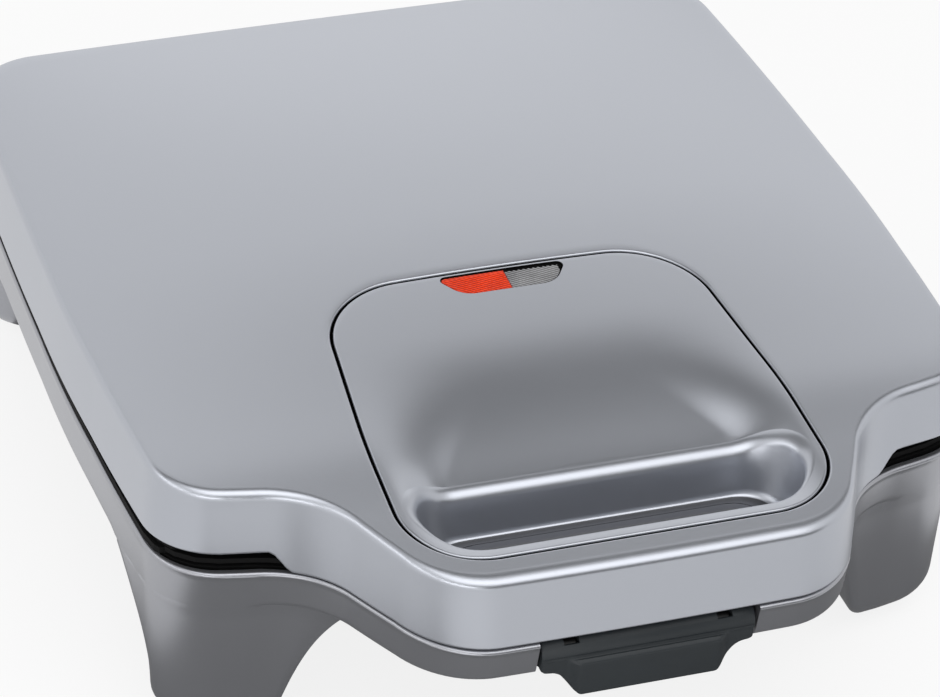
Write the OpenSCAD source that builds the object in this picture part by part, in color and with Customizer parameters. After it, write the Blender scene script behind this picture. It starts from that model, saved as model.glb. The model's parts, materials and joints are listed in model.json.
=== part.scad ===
// Sandwich toaster with a hinged lid, a finger-grip handle inlay and a front latch.
// Origin: on the surface that it stands on, under the middle of its box. +Z up, front towards -Y.

/* [Body] */
// Width across the seam
body_w = 272; // [262:1:290]
// Depth from the nose's top front line to the lid's top back line
body_d = 299.5; // [290:0.5:312]
// Height of the lid's side edge above the surface
edge_h = 95; // [92:0.5:102]
// Height of the base's rim above the surface
rim_h = 66.5; // [65.5:0.1:67]
// How far the wall stands outside the lid's top line at the seam
flare = 5; // [4:0.1:6]
// Extra lean of the nose's front wall
nose_lean = 3; // [0:0.1:4]
// Radius of the lid's top edge
edge_r = 3; // [2:0.1:3.5]
// Wall of the two outer shells
wall = 2.5; // [2:0.1:3]
// Rise of the domed lid above its side edge
dome_rise = 8.5; // [6:0.1:11]
// Slope of the nose's top, in mm per mm
nose_slope = 0.098; // [0.05:0.001:0.12]

/* [Nose and shoulders] */
// Half width of the nose where its side meets its front line
nose_half = 62; // [58:0.5:66]
// Half width where the nose's side meets the shoulder
neck_half = 86; // [82:0.5:90]
// Depth of the nose in front of the shoulder
nose_len = 46.5; // [42:0.5:50]
// Radius of the nose's front corner
nose_r = 27; // [20:1:32]
// Radius of the hollow between nose and shoulder
neck_r = 36; // [28:1:40]
// Radius of the shoulder's corner
shoulder_r = 20; // [14:1:26]
// Radius of the back corners
back_r = 24; // [14:1:34]

/* [Seam] */
// Open gap between lid and base along the sides
side_gap = 5; // [4.5:0.1:6]
// Seam between lid and base at the nose
nose_seam = 0.6; // [0.5:0.1:1]
// Depth of the base's band below its rim at the nose
nose_band = 13; // [11:0.1:14]
// Depth of the base's band below its rim along the sides
side_band = 17.5; // [15:0.1:20]

/* [Feet] */
// Thickness of the rubber pads under the feet
pad_h = 2; // [1.5:0.1:3]
// Radius of the feet's rounded lower edge
foot_r = 11; // [8:0.5:13]
// Height of the body's underside above the surface
belly_h = 37; // [34:0.5:42]

/* [Handle] */
// Half width of the handle inlay at its front
inlay_half = 67.6; // [60:0.1:69]
// Distance of the inlay's front line from the nose's front line
inlay_front = 6; // [5:0.1:8]
// Distance of the inlay's back line from the nose's front line
inlay_back = 131; // [125:0.5:135]
// Width of the groove round the inlay
groove = 0.9; // [0.5:0.1:1.5]
// Thickness of the inlay's skin
skin = 2.2; // [1.8:0.1:2.6]
// Half width of the finger recess
recess_half = 60; // [52:0.5:61]
// Depth of the finger recess's floor below the lid's side edge
recess_depth = 24; // [20:0.1:24.4]
// Depth of the scoop at its crest
scoop = 7.6; // [5:0.1:9]

/* [Plates] */
// Width of a cooking plate
plate_w = 234; // [226:1:236]
// Distance of the plates' front edge behind the front of the frame
plate_front_ledge = 11.75; // [10:0.25:16]
// Distance of the plates' back edge from the body's back line
plate_back_ledge = 15.75; // [13:0.25:22]
// Thickness of a plate's web
plate_t = 3; // [2.5:0.1:4]
// Depth of a sandwich pocket
pocket_deep = 9; // [7:0.5:9.5]
// Width of the rib between two pockets
rib = 7; // [5:0.5:9]
// Diameter of the heating tubes
heater_d = 6.6; // [6:0.1:7]

/* [Hinge] */
// Radius of the hinge barrels
barrel_r = 6; // [5:0.1:6.3]
// Radius of the hinge pins
pin_r = 2; // [1.5:0.1:2.5]
// Distance of each hinge from the middle
hinge_x = 78; // [60:1:95]
// Running clearance round a pin
run = 0.05; // [0.02:0.01:0.09]

/* [Latch] */
// Width of the latch clip
latch_w = 66.8; // [56:0.2:72]
// Radius of the latch clip's barrel
latch_r = 5.3; // [5:0.1:5.5]
// Radius of the latch pin
latch_pin_r = 1.5; // [1.2:0.1:1.8]
// Height of the pull tab below the clip's wide part
tab_h = 9.5; // [7:0.5:12]

/* [Hidden] */
$fn = 48;

eps = 0.01;
clear = 0.4;                       // loose fit between pieces that are screwed together
face = 0.2;                        // gap between a screwed-on piece and its wall
hinge_out = 6.5;                   // hinge axis behind the back wall
latch_out = 2;                     // how far the pull tab stands proud of the nose

// y of the nose's front line, which puts the middle of the whole box on the origin
back_reach = body_d + flare + hinge_out + barrel_r;
front_reach = -(flare + nose_lean) - latch_out;
y0 = -(front_reach + back_reach) / 2;

silver = [0.72, 0.73, 0.75];
dark = [0.07, 0.07, 0.08];
slate = [0.20, 0.22, 0.25];
steel = [0.62, 0.62, 0.64];

// ---- outline of the body, as corner points with a radius each, right half ----
side_x = body_w / 2 - flare;
CORNERS = [
  [0, 0, 0], [nose_half, 0, nose_r], [neck_half, nose_len, neck_r],
  [side_x - 2.5, nose_len + 9, shoulder_r], [side_x + 1.5, body_d / 2, 700],
  [side_x - 4.5, body_d - 1.5, back_r], [0, body_d, 0]
];

function unit(v) = v / norm(v);
function smooth(t) = let (u = max(0, min(1, t))) u * u * (3 - 2 * u);
function lerp(a, b, t) = a + (b - a) * t;

// an arc that rounds corner b, as [x, y, outward normal x, outward normal y]
function corner_arc(a, b, c, n) =
  let (p = [a[0], a[1]], q = [b[0], b[1]], s = [c[0], c[1]],
       u = unit(p - q), v = unit(s - q), w = unit(u + v),
       half = acos(max(-1, min(1, u * v))) / 2,
       mid = q + w * b[2] / sin(half),
       turn = (q - p)[0] * (s - q)[1] - (q - p)[1] * (s - q)[0],
       side = turn > 0 ? 1 : -1,
       from = q + u * b[2] / tan(half) - mid,
       sweep = 180 - 2 * half)
  [for (i = [0:n]) let (t = side * sweep * i / n,
      d = [from[0] * cos(t) - from[1] * sin(t), from[0] * sin(t) + from[1] * cos(t)])
    [mid[0] + d[0], mid[1] + d[1], side * d[0] / b[2], side * d[1] / b[2]]];

function rounded(corners, steps) =
  [for (i = [1:len(corners) - 2])
    each corner_arc(corners[i - 1], corners[i], corners[i + 1], steps[i - 1])];

// adds points on stretches longer than step, which bow out a little
bow = 0.005;
function filled(pts, step) =
  [for (i = [0:len(pts) - 1])
    let (a = pts[i], b = pts[(i + 1) % len(pts)],
         gap = norm([b[0] - a[0], b[1] - a[1]]), n = max(1, ceil(gap / step)))
    each [for (k = [0:n - 1]) let (t = k / n, h = 4 * bow * gap * t * (1 - t), p = lerp(a, b, t))
      [p[0] + p[2] * h, p[1] + p[3] * h, p[2], p[3]]]];

function mirrored(half) = concat(half, [for (i = [len(half) - 1:-1:0]) [-half[i][0], half[i][1], -half[i][2], half[i][3]]]);

OUTLINE = filled(mirrored(rounded(CORNERS, [5, 7, 4, 4, 4])), 24);
INSIDE = filled(mirrored(rounded(CORNERS, [3, 4, 2, 2, 3])), 48);
function outline(inset) = inset > 0 ? INSIDE : OUTLINE;

// ---- heights ----
// the top surface: a sloping nose, and a dome that is highest at crown_y
crown_y = body_d * 0.55;
slope_from = nose_len + 10;
function nose_drop(y) = nose_slope * max(0, slope_from - y);
function bulge(y) = y < crown_y ? pow(sin(90 * max(0, y - 30) / (crown_y - 30)), 2)
                                : 1 - pow((y - crown_y) / (body_d - crown_y), 2);
function top_z(x, y) = edge_h - nose_drop(y)
  + dome_rise * bulge(y) * max(0, 1 - pow(x / (side_x + 3), 2));
// 1 on the nose, 0 on the shoulders and the sides
function nose_part(x, y) = y > nose_len + 15 ? 0 : 1 - smooth((abs(x) - neck_half - 5) / 8);
function lid_low(x, y) = lerp(rim_h + side_gap, rim_h + nose_seam, nose_part(x, y));
function band_low(y) = rim_h - lerp(nose_band, side_band, smooth((y - nose_len) / 50));

// a ring of the outline, moved out by d, with the lean of the nose's front
function wall_point(p, d) =
  [p[0] + p[2] * d,
   p[1] + p[3] * d - nose_lean * d / flare * max(0, -p[3]) * max(0, 1 - p[1] / 40)];
function ring(line, d, z) = [for (p = line) let (q = wall_point(p, d)) [q[0], q[1], z]];

// closed solid through rings of equal length, with a fan at each end; the lower one is vaulted
module loft(rings, vault = 0) {
  n = len(rings[0]);
  m = len(rings);
  low = [0, body_d * 0.45, rings[0][0][2] + vault];
  function middle(r) = [0, body_d * 0.45, r[round(n * 0.35)][2]];
  pts = concat([for (r = rings) each r], [low, middle(rings[m - 1])]);
  sides = [for (j = [0:m - 2], i = [0:n - 1]) let (k = (i + 1) % n)
    each [[j * n + i, (j + 1) * n + i, (j + 1) * n + k], [j * n + i, (j + 1) * n + k, j * n + k]]];
  bottom = [for (i = [0:n - 1]) [m * n, i, (i + 1) % n]];
  top = [for (i = [0:n - 1]) [m * n + 1, (m - 1) * n + (i + 1) % n, (m - 1) * n + i]];
  polyhedron(pts, concat(sides, bottom, top), convexity = 8);
}

// ---- shared plan shapes ----
module full_plan(d) {
  polygon([for (p = ring(OUTLINE, d, 0)) [p[0], p[1]]]);
}

module box_plan(w, y_front, y_back, r) {
  corners = [[0, y_front, 0], [w / 2, y_front, r], [w / 2, y_back, r], [0, y_back, 0]];
  polygon([for (p = mirrored(rounded(corners, [6, 6]))) [p[0], p[1]]]);
}

module at_body() {
  translate([0, y0, 0]) children();
}

// ---- inner layout ----
frame_front = nose_len + 15.5;
plate_front = frame_front + plate_front_ledge;
plate_back = body_d - plate_back_ledge;
plate_d = plate_back - plate_front;
plate_mid = (plate_front + plate_back) / 2;
meet_z = rim_h + 2.6;              // where the two cooking plates meet
plate_gap = 0.4;
frame_back = body_d - 2.5;
frame_w = 2 * side_x - 2;

// ---- base ----
foot_top = band_low(body_d);
sole_z = pad_h + foot_r;
// distance outside the lid's top line at height z, by the draft of the band and the feet
function draft(z) = z > foot_top ? flare - 0.12 * (rim_h - z) : flare - 0.12 * (rim_h - foot_top) - 0.06 * (foot_top - z);
// how far a front foot's face lies behind the band, which fades out towards the corner
function crease(p) = p[1] > nose_len + 15 ? 0 : 2 * smooth((106 - abs(p[0])) / 22);
function foot_ring(line, d, z) = [for (p = line) let (q = wall_point(p, d - crease(p))) [q[0], q[1], z]];

module foot_column(inset) {
  line = outline(inset);
  bends = inset > 0 ? [90, 45] : [90, 60, 30];
  levels = [sole_z, 24, foot_top - 0.5, rim_h - 5];
  loft(concat(
    [for (a = bends) foot_ring(line, draft(sole_z) - inset - foot_r * (1 - cos(a)), sole_z + inset - foot_r * sin(a))],
    [for (z = levels) foot_ring(line, draft(z) - 0.3 - inset, z == sole_z ? z + inset : z)]
  ));
}

// a foot's plan at some heights: [height, inner edge, edge towards the other foot, corner radius]
FOOT_PLANS = [[-1, 97, 31, 16], [sole_z, 93.5, 31.5, 19], [24, 90, 33, 18.5], [34, 86.5, 37.5, 16],
              [42, 83, 43.5, 11], [foot_top - 1, 80, 53, 5], [foot_top + 5, 78.5, 60, 3]];
foot_face = nose_len + 2;          // the front feet's front faces
back_face = body_d + 2;            // the back feet's back faces
module foot_slice(plan, inset) {
  x_out = side_x - 1.4 + draft(plan[0]) - inset;
  reach = foot_face + plan[2] - inset;
  corners = [[plan[1] + inset, reach, 5], [plan[1] + inset, -30, 0.5], [x_out, -30, 0.5], [x_out, reach, plan[3]]];
  translate([0, 0, plan[0]]) linear_extrude(0.05)
    polygon([for (i = [0:3]) each [for (p = corner_arc(corners[(i + 3) % 4], corners[i], corners[(i + 1) % 4], i % 3 == 0 ? 4 : 1)) [p[0], p[1]]]]);
}

module foot_form(inset) {
  for (i = [0:len(FOOT_PLANS) - 2]) hull() {
    foot_slice(FOOT_PLANS[i], inset);
    foot_slice(FOOT_PLANS[i + 1], inset);
  }
}

module feet(inset) {
  intersection() {
    foot_column(inset);
    for (sx = [-1, 1]) scale([sx, 1, 1]) {
      foot_form(inset);
      translate([0, foot_face + back_face, 0]) mirror([0, 1, 0]) foot_form(inset);
    }
  }
}

// the band under the rim, which turns in at its lower edge
module band(inset) {
  line = outline(inset);
  function low(in, up) = [for (p = line) let (z = band_low(p[1]) + up, q = wall_point(p, draft(z) - in - inset)) [q[0], q[1], z + inset]];
  if (inset > 0) loft([low(1.5, 0), low(0, 2), ring(line, flare - inset, rim_h + 1)], 2);
  else loft([low(1.6, 0), low(0.5, 0.6), low(0, 2.2), ring(line, flare, rim_h - 1), ring(line, flare - 1, rim_h)], 2);
}

// the belly between the feet, which holds the lower plate and its heater
belly_front = nose_len + 14;
module belly(inset) {
  levels = [[0, 14], [2, 7.4], [6.5, 2.2], [11, 0]];   // [height over the underside, how far it draws in]
  top = rim_h - 8.3;
  for (i = [0:len(levels) - 1]) {
    z = belly_h + levels[i][0] + inset;
    next = i < len(levels) - 1 ? levels[i + 1] : [top - belly_h - inset, 0];
    hull() {
      belly_slice(levels[i][1] + inset, z);
      belly_slice(next[1] + inset, belly_h + next[0] + inset);
    }
  }
}

module belly_slice(d, z) {
  translate([0, 0, z]) linear_extrude(0.05)
    box_plan(2 * (side_x - 1.3 - d), belly_front + d, body_d - 1.3 - d, 24);
}

latch_cut = latch_w / 2 + 1;
cover_t = 1.8;
slot_gap = 9;

module base_shell() {
  color(silver) at_body() {
    difference() {
      union() {
        difference() {
          union() {
            band(0);
            belly(0);
            feet(0);
          }
          band(wall);
          belly(wall);
          feet(wall);
          // opening that the bottom cover closes
          translate([0, 0, belly_h - 1]) linear_extrude(wall + 2) cover_plan(-10);
        }
        // wall behind the latch, whose lower edge is the catch
        translate([-latch_cut - wall, 3, rim_h - nose_band - 2]) cube([2 * (latch_cut + wall), wall, nose_band + 2 - clear - 2.4]);
        cover_bosses(0);
      }
      // the latch's place in the front of the band
      translate([-latch_cut, -20, 0]) cube([2 * latch_cut, 23, rim_h + 5]);
      cover_bosses(1);
      // the cable's way out
      translate([bushing_x, body_d - 20, bushing_z]) rotate([-90, 0, 0]) cylinder(r = bushing_r + face, h = 40);
    }
  }
}

boss_r = 4.5;
screw_r = 1.6;
cover_w = 158;
cover_front = belly_front + 17;
cover_back = body_d - 19;
BOSSES = [for (sx = [-1, 1], y = [cover_front + 20, (cover_front + cover_back) / 2, cover_back - 20]) [sx * (cover_w / 2 - 5), y]];
module cover_plan(d) {
  box_plan(cover_w + 2 * d, cover_front - d, cover_back + d, 12 + d);
}

module cover_bosses(bore) {
  for (b = BOSSES) translate([b[0], b[1], belly_h + wall]) {
    if (bore) translate([0, 0, -4]) cylinder(r = screw_r, h = 14, $fn = 16);
    else translate([0, 0, -eps]) cylinder(r = boss_r, h = 8, $fn = 20);
  }
}

module bottom_cover() {
  color(dark) at_body() difference() {
    translate([0, 0, belly_h - cover_t - face]) linear_extrude(cover_t) cover_plan(0);
    for (b = BOSSES) translate([b[0], b[1], belly_h - cover_t - 1]) cylinder(r = screw_r + 0.2, h = 10);
    for (sx = [-1, 1], i = [0:9])
      translate([sx * 32, plate_mid + (i - 4.5) * slot_gap, belly_h - cover_t - 1]) linear_extrude(wall + 2)
        slot_plan(44, 3.4);
  }
}

module slot_plan(len, w) {
  square([len - w, w], center = true);
  for (s = [-1, 1]) translate([s * (len - w) / 2, 0]) circle(d = w);
}

module pan_screw(len, r) {
  cylinder(r = r, h = len);
  translate([0, 0, -1.6]) difference() {
    cylinder(r = r * 1.9, h = 1.6);
    for (a = [0, 90]) rotate(a) translate([-r * 1.2, -0.3, -1]) cube([r * 2.4, 0.6, 1.8]);
  }
}

module cover_screws() {
  color(steel) at_body() for (b = BOSSES) translate([b[0], b[1], belly_h - cover_t - face]) pan_screw(10, screw_r);
}

// rubber pads in the flat soles of the feet
pad_x = side_x - 23.5;
pad_r = 5.5;
pad_ys = [nose_len + 25, body_d - 20];
module foot_pads() {
  color(dark) at_body() for (sx = [-1, 1], y = pad_ys)
    translate([sx * pad_x, y, 0]) {
      cylinder(r1 = pad_r - 0.8, r2 = pad_r, h = 0.6);
      translate([0, 0, 0.6]) cylinder(r = pad_r, h = pad_h - 0.6);
    }
}

// plan of the nose as far back as y, and of the body behind y
module nose_plan(d, y) {
  intersection() {
    full_plan(d);
    translate([-body_w / 2, -20]) square([body_w, y + 20]);
  }
}

module back_plan(d, y) {
  difference() {
    full_plan(d);
    translate([-body_w / 2, -20]) square([body_w, y + 20]);
  }
}

module plate_hole(d) {
  box_plan(plate_w + 2 * d, plate_front - d, plate_back + d, 12 + d);
}

// a flange round the plate, with a skirt along the shell's wall and a ledge for the plate
flange_t = 2.2;
skirt_h = 5;
module plate_frame(d_flange, d_skirt, front) {
  linear_extrude(flange_t) difference() {
    back_plan(d_flange, front);
    plate_hole(clear);
  }
  translate([0, 0, flange_t - eps]) linear_extrude(skirt_h) difference() {
    back_plan(d_skirt, front);
    box_plan(2 * side_x - 8, front + 2.4, body_d - 5, 18);
  }
  translate([0, 0, plate_t + face]) linear_extrude(1.6) difference() {
    back_plan(d_skirt, front);
    plate_hole(-5);
  }
}

module base_frame() {
  color(dark) at_body() {
    translate([0, 0, meet_z - clear]) mirror([0, 0, 1]) plate_frame(1.8, 0.5, frame_front);
    translate([0, 0, rim_h - 2.4]) linear_extrude(2.4) difference() {
      nose_plan(0.8, frame_front + 2);
      translate([-latch_cut - wall - clear, -30]) square([2 * (latch_cut + wall + clear), 36]);
    }
  }
}

// ---- cooking plates: four slices, each cut into two triangular pockets ----
slice_w = (plate_w - 16) / 2;
slice_d = (plate_d - 16) / 2;
module pocket(grow, deep, low) {
  // a right-angled triangle with its corners rounded, which narrows with depth
  r = 6;
  leg_x = slice_w - rib;
  leg_y = slice_d - rib;
  cut = rib * 0.75;
  tips = [[r, r], [leg_x - r - 2 * cut, r], [r, leg_y - r - 2 * cut]];
  hull() for (t = tips) translate([t[0], t[1], 0]) {
    translate([0, 0, low]) cylinder(r = r + grow, h = eps, $fn = 12);
    translate([(slice_w / 3 - t[0]) * 0.12, (slice_d / 3 - t[1]) * 0.12, -deep]) cylinder(r = r - 2 + grow, h = eps, $fn = 12);
  }
}

module pockets(grow, deep, low) {
  for (sx = [-1, 1], sy = [-1, 1])
    translate([sx * (slice_w / 2), plate_mid + sy * (slice_d / 2), 0]) scale([sx, sy, 1])
      for (turn = [0, 180])
        rotate(turn) translate([-slice_w / 2 + rib / 2, -slice_d / 2 + rib / 2, 0]) pocket(grow, deep, low);
}

module plate() {
  difference() {
    union() {
      translate([0, 0, -plate_t]) linear_extrude(plate_t) box_plan(plate_w, plate_front, plate_back, 12);
      pockets(plate_t - 0.5, pocket_deep + plate_t - 0.5, -plate_t + 0.5);
    }
    pockets(0, pocket_deep, 0.1);
  }
}

module lower_plate() {
  color(dark) at_body() translate([0, 0, meet_z - plate_gap / 2]) plate();
}

// ---- heaters: a tube bent into two loops, with its two ends together ----
heater_z = pocket_deep + plate_t + 0.3 + heater_d / 2;
loop_x = plate_w / 2 - 38;
loop_y = plate_d / 2 - 34;
bend_r = 16;
module heater_run(len) {
  rotate([0, 90, 0]) cylinder(d = heater_d, h = len);
}

module heater_bend(angle) {
  rotate_extrude(angle = angle) translate([bend_r, 0]) circle(d = heater_d);
}

module heater() {
  for (sx = [-1, 1]) scale([sx, 1, 1]) {
    translate([loop_x - bend_r, loop_y - bend_r, 0]) heater_bend(90);
    translate([loop_x - bend_r, bend_r - loop_y, 0]) rotate(-90) heater_bend(90);
    translate([loop_x, loop_y - bend_r, 0]) rotate(-90) heater_run(2 * (loop_y - bend_r));
    translate([0, loop_y, 0]) heater_run(loop_x - bend_r);
    translate([26 + bend_r, -loop_y, 0]) heater_run(loop_x - 26 - 2 * bend_r);
    translate([26 + bend_r, bend_r - loop_y, 0]) rotate(180) heater_bend(90);
    translate([26, 32, 0]) rotate(-90) heater_run(32 + loop_y - bend_r);
  }
}

module terminals() {
  for (sx = [-1, 1]) translate([sx * 26, 32, 0]) rotate([-90, 0, 0]) cylinder(d = 3, h = 9);
}

module lower_heater() {
  color(steel) at_body() translate([0, plate_mid, meet_z - heater_z]) {
    heater();
    terminals();
  }
}

module upper_heater() {
  color(steel) at_body() translate([0, plate_mid, meet_z + heater_z]) {
    heater();
    terminals();
  }
}

// ---- reflectors: folded sheet trays behind the heaters ----
tray_t = 0.6;
module reflector() {
  difference() {
    translate([0, 0, 0]) linear_extrude(5) box_plan(plate_w - 12, plate_front + 6, plate_back - 6, 12);
    translate([0, 0, tray_t]) linear_extrude(6)
      box_plan(plate_w - 12 - 2 * tray_t, plate_front + 6 + tray_t, plate_back - 6 - tray_t, 12 - tray_t);
    translate([0, plate_mid + 38, -1]) cylinder(r = 7, h = 3);
  }
}

reflector_z = heater_z + heater_d / 2 + 0.4 + tray_t;
module lower_reflector() {
  color(steel) at_body() translate([0, 0, meet_z - reflector_z]) reflector();
}

module upper_reflector() {
  color(steel) at_body() translate([0, 0, meet_z + reflector_z]) mirror([0, 0, 1]) reflector();
}

// ---- electrical pieces in the base ----
under_z = meet_z - reflector_z;
module thermostat() {
  color([0.85, 0.82, 0.75]) at_body() translate([0, plate_mid, under_z - face]) {
    translate([-9, -6, -7]) cube([18, 12, 7]);
    for (s = [-1, 1]) translate([s * 12 - 3, -2.5, -4]) cube([6, 5, 0.8]);
    translate([0, 0, -9]) cylinder(r = 2, h = 2 + eps);
  }
}

module terminal_block() {
  color([0.9, 0.9, 0.88]) at_body() translate([20, plate_mid + 48, under_z - face]) difference() {
    translate([-15, -9, -8]) cube([30, 18, 8]);
    for (i = [-1:1]) translate([i * 9, -10, -4]) rotate([-90, 0, 0]) cylinder(r = 1.8, h = 20);
    for (i = [-1:1], s = [-1, 1]) translate([i * 9, s * 5, -9]) cylinder(r = 1.5, h = 5);
  }
}

// bushing in the back wall that the mains cable would pass through
bushing_x = 30;
bushing_z = rim_h - 9.6;
bushing_r = 4.2;
cable_r = 3.1;
module cable_bushing() {
  y = body_d + flare - 2;
  color(dark) at_body() translate([bushing_x, y, bushing_z]) rotate([-90, 0, 0]) difference() {
    union() {
      translate([0, 0, -wall - 3.2]) cylinder(r = bushing_r + 0.3, h = 2);
      translate([0, 0, -wall - 3]) cylinder(r = bushing_r, h = 8);
      translate([0, 0, 1.8]) cylinder(r1 = bushing_r + 2, r2 = bushing_r + 1, h = 3.2);
    }
    translate([0, 0, -10]) cylinder(r = cable_r, h = 30);
  }
}

// ---- hinges ----
hinge_y = body_d + flare + hinge_out;
hinge_z = rim_h + side_gap / 2;
base_leaf = 8;
lid_leaf = 14;
leaf_gap = 0.4;
base_leaf_x = lid_leaf / 2 + leaf_gap;
hinge_width = lid_leaf + 2 * (base_leaf + leaf_gap);
back_wall = body_d - 0.6 + flare;   // the back wall at a hinge
module at_hinges() {
  for (sx = [-1, 1]) translate([sx * hinge_x, hinge_y, hinge_z]) children();
}

module base_hinge_brackets() {
  wall_y = back_wall + face - hinge_y;
  color(silver) at_body() at_hinges() difference() {
    union() {
      for (s = [-1, 1]) translate([s > 0 ? base_leaf_x : -base_leaf_x - base_leaf, 0, 0]) {
        rotate([0, 90, 0]) cylinder(r = barrel_r, h = base_leaf);
        translate([0, wall_y, -barrel_r - 9]) cube([base_leaf, -wall_y, barrel_r + 5]);
        translate([0, 0, -barrel_r - 9]) rotate([0, 90, 0]) intersection() {
          translate([0, 0, 0]) cylinder(r = 3, h = base_leaf);
          translate([-6, 0, 0]) cube([6, 4, base_leaf]);
        }
        translate([0, -eps, -barrel_r - 9]) cube([base_leaf, 3, 9]);
      }
      translate([-hinge_width / 2, wall_y, -barrel_r - 10]) cube([hinge_width, 3, 10]);
    }
    rotate([0, 90, 0]) cylinder(r = pin_r, h = 60, center = true);
    for (s = [-1, 1]) translate([s * 4, 0, -barrel_r - 5]) rotate([90, 0, 0]) cylinder(r = screw_r + 0.1, h = 12);
    translate([-base_leaf_x, -2.4, -barrel_r - 1.4]) cube([2 * base_leaf_x, 8, 12]);
  }
}

module base_hinge_screws() {
  y = back_wall + face + 3 - hinge_y;
  color(steel) at_body() at_hinges() for (s = [-1, 1])
    translate([s * 4, y, -barrel_r - 5]) rotate([90, 0, 0]) pan_screw(9, screw_r);
}

module hinge_pins() {
  color(steel) at_body() at_hinges() {
    rotate([0, 90, 0]) cylinder(r = pin_r, h = hinge_width, center = true);
    for (s = [-1, 1]) translate([s * (hinge_width / 2 + 0.5), 0, 0]) rotate([0, 90, 0])
      cylinder(r = pin_r + 1, h = 1, center = true);
  }
}

// the lid's leaf follows the slope of its back wall
lean = (flare - edge_r) / (edge_h - edge_r - rim_h);
leaf_low = 6.6;
leaf_high = 17;
module lid_hinge_brackets() {
  low = leaf_low;
  high = leaf_high;
  inner = back_wall + face - hinge_y;
  color(silver) at_body() at_hinges() difference() {
    union() {
      rotate([0, 90, 0]) cylinder(r = barrel_r, h = lid_leaf, center = true);
      translate([-lid_leaf / 2, 0, 0]) rotate([90, 0, 90]) linear_extrude(lid_leaf)
        polygon([[-barrel_r + 0.6, 0], [barrel_r - 1, 2.5], [inner + 2.6, high - 1.5],
                 [inner + 1, high - 1.5], [inner + 1, low + 1]]);
      translate([-hinge_width / 2, 0, 0]) rotate([90, 0, 90]) linear_extrude(hinge_width)
        polygon([[inner - lean * low, low], [inner + 3 - lean * low, low],
                 [inner + 3 - lean * high, high], [inner - lean * high, high]]);
    }
    rotate([0, 90, 0]) cylinder(r = pin_r + run, h = 60, center = true);
    for (s = [-1, 1]) lid_leaf_screw(s) cylinder(r = screw_r + 0.1, h = 20, center = true);
  }
}

// on the leaf's outer face, square to it, with +Z into the wall
module lid_leaf_screw(side) {
  z = (leaf_low + leaf_high) / 2;
  translate([side * 11, back_wall + face + 3 - lean * z - hinge_y, z]) rotate([90 + atan(lean), 0, 0]) children();
}

module lid_hinge_screws() {
  color(steel) at_body() at_hinges() for (s = [-1, 1]) lid_leaf_screw(s) pan_screw(8, screw_r);
}

// ---- lid ----
module lid_solid(inset, low) {
  line = outline(inset);
  function skirt(d, drop) = [for (p = line) let (q = wall_point(p, d - inset))
    [q[0], q[1], top_z(p[0], p[1]) - drop - inset * (drop < edge_r ? 1 : 0)]];
  function dome(t) = [for (p = line) let (x = p[0] * t, y = lerp(body_d * 0.45, p[1], t)) [x, y, top_z(x, y) - inset]];
  bottom = [for (p = line) let (q = wall_point(p, flare - inset)) [q[0], q[1], low ? rim_h - 10 : lid_low(p[0], p[1])]];
  arc = inset > 0 ? [60] : [20, 45, 70];
  loft(concat(
    [bottom, skirt(lerp(edge_r, flare, 0.45), 13), skirt(edge_r, edge_r)],
    [for (a = arc) skirt(edge_r * cos(a), edge_r * (1 - sin(a)))],
    [skirt(0, 0)],
    [for (t = inset > 0 ? [0.8, 0.45] : [0.88, 0.7, 0.48, 0.25]) dome(t)]
  ));
}

INLAY_CORNERS = [[0, inlay_front, 0], [inlay_half, inlay_front, 24], [inlay_half - 1.6, 60, 300],
                 [inlay_half - 9.1, inlay_back, 27], [0, inlay_back, 0]];
INLAY = mirrored(rounded(INLAY_CORNERS, [7, 3, 7]));
module inlay_plan(d) {
  polygon([for (p = INLAY) [p[0] + p[2] * d, p[1] + p[3] * d]]);
}

module lid_shell() {
  color(silver) at_body() difference() {
    union() {
      difference() {
        lid_solid(0, false);
        lid_solid(wall, true);
      }
      lid_ribs();
    }
    translate([0, 0, rim_h + 4]) linear_extrude(60) inlay_plan(groove);
  }
}

// stiffening ribs under the dome
module lid_ribs() {
  for (sx = [-1, 1], i = [0:3])
    let (y = body_d / 2 + 10.25 + 30 * i)
      hull() for (x = [23, side_x - 42])
        translate([sx * x - 0.9, y - 0.9, top_z(x, y) - wall - 2]) cube([1.8, 1.8, 2.7]);
}

module lid_frame() {
  front = frame_front - clear - 2.4;
  color(dark) at_body() {
    translate([0, 0, meet_z + clear]) plate_frame(0.6, 0.4, front);
    translate([0, 0, rim_h + 1.1]) linear_extrude(1.7) nose_plan(0.8, front + 2.4);
    // step that joins the nose's plate to the flange
    translate([0, 0, rim_h + 1.1]) linear_extrude(meet_z + clear - rim_h) difference() {
      back_plan(0.4, front);
      translate([-body_w / 2, front + 2.4]) square([body_w, body_d]);
    }
  }
}

module upper_plate() {
  color(dark) at_body() translate([0, 0, meet_z + plate_gap / 2]) mirror([0, 0, 1]) plate();
}

// ---- handle inlay: a skin that dips to a crest, and a finger recess in front of the crest ----
recess_front = inlay_front + 4;
crest_y = 43;
recess_y2 = 36;                    // the recess's back wall at its floor
recess_floor = edge_h - recess_depth;
function scoop_depth(x, y) = scoop * smooth((108 - y) / 60)
  * (1 - smooth((abs(x) - recess_half + 10) / 15));
function skin_z(x, y) = top_z(x, y) - scoop_depth(x, y) * smooth((y - 4) / 30);

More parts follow.
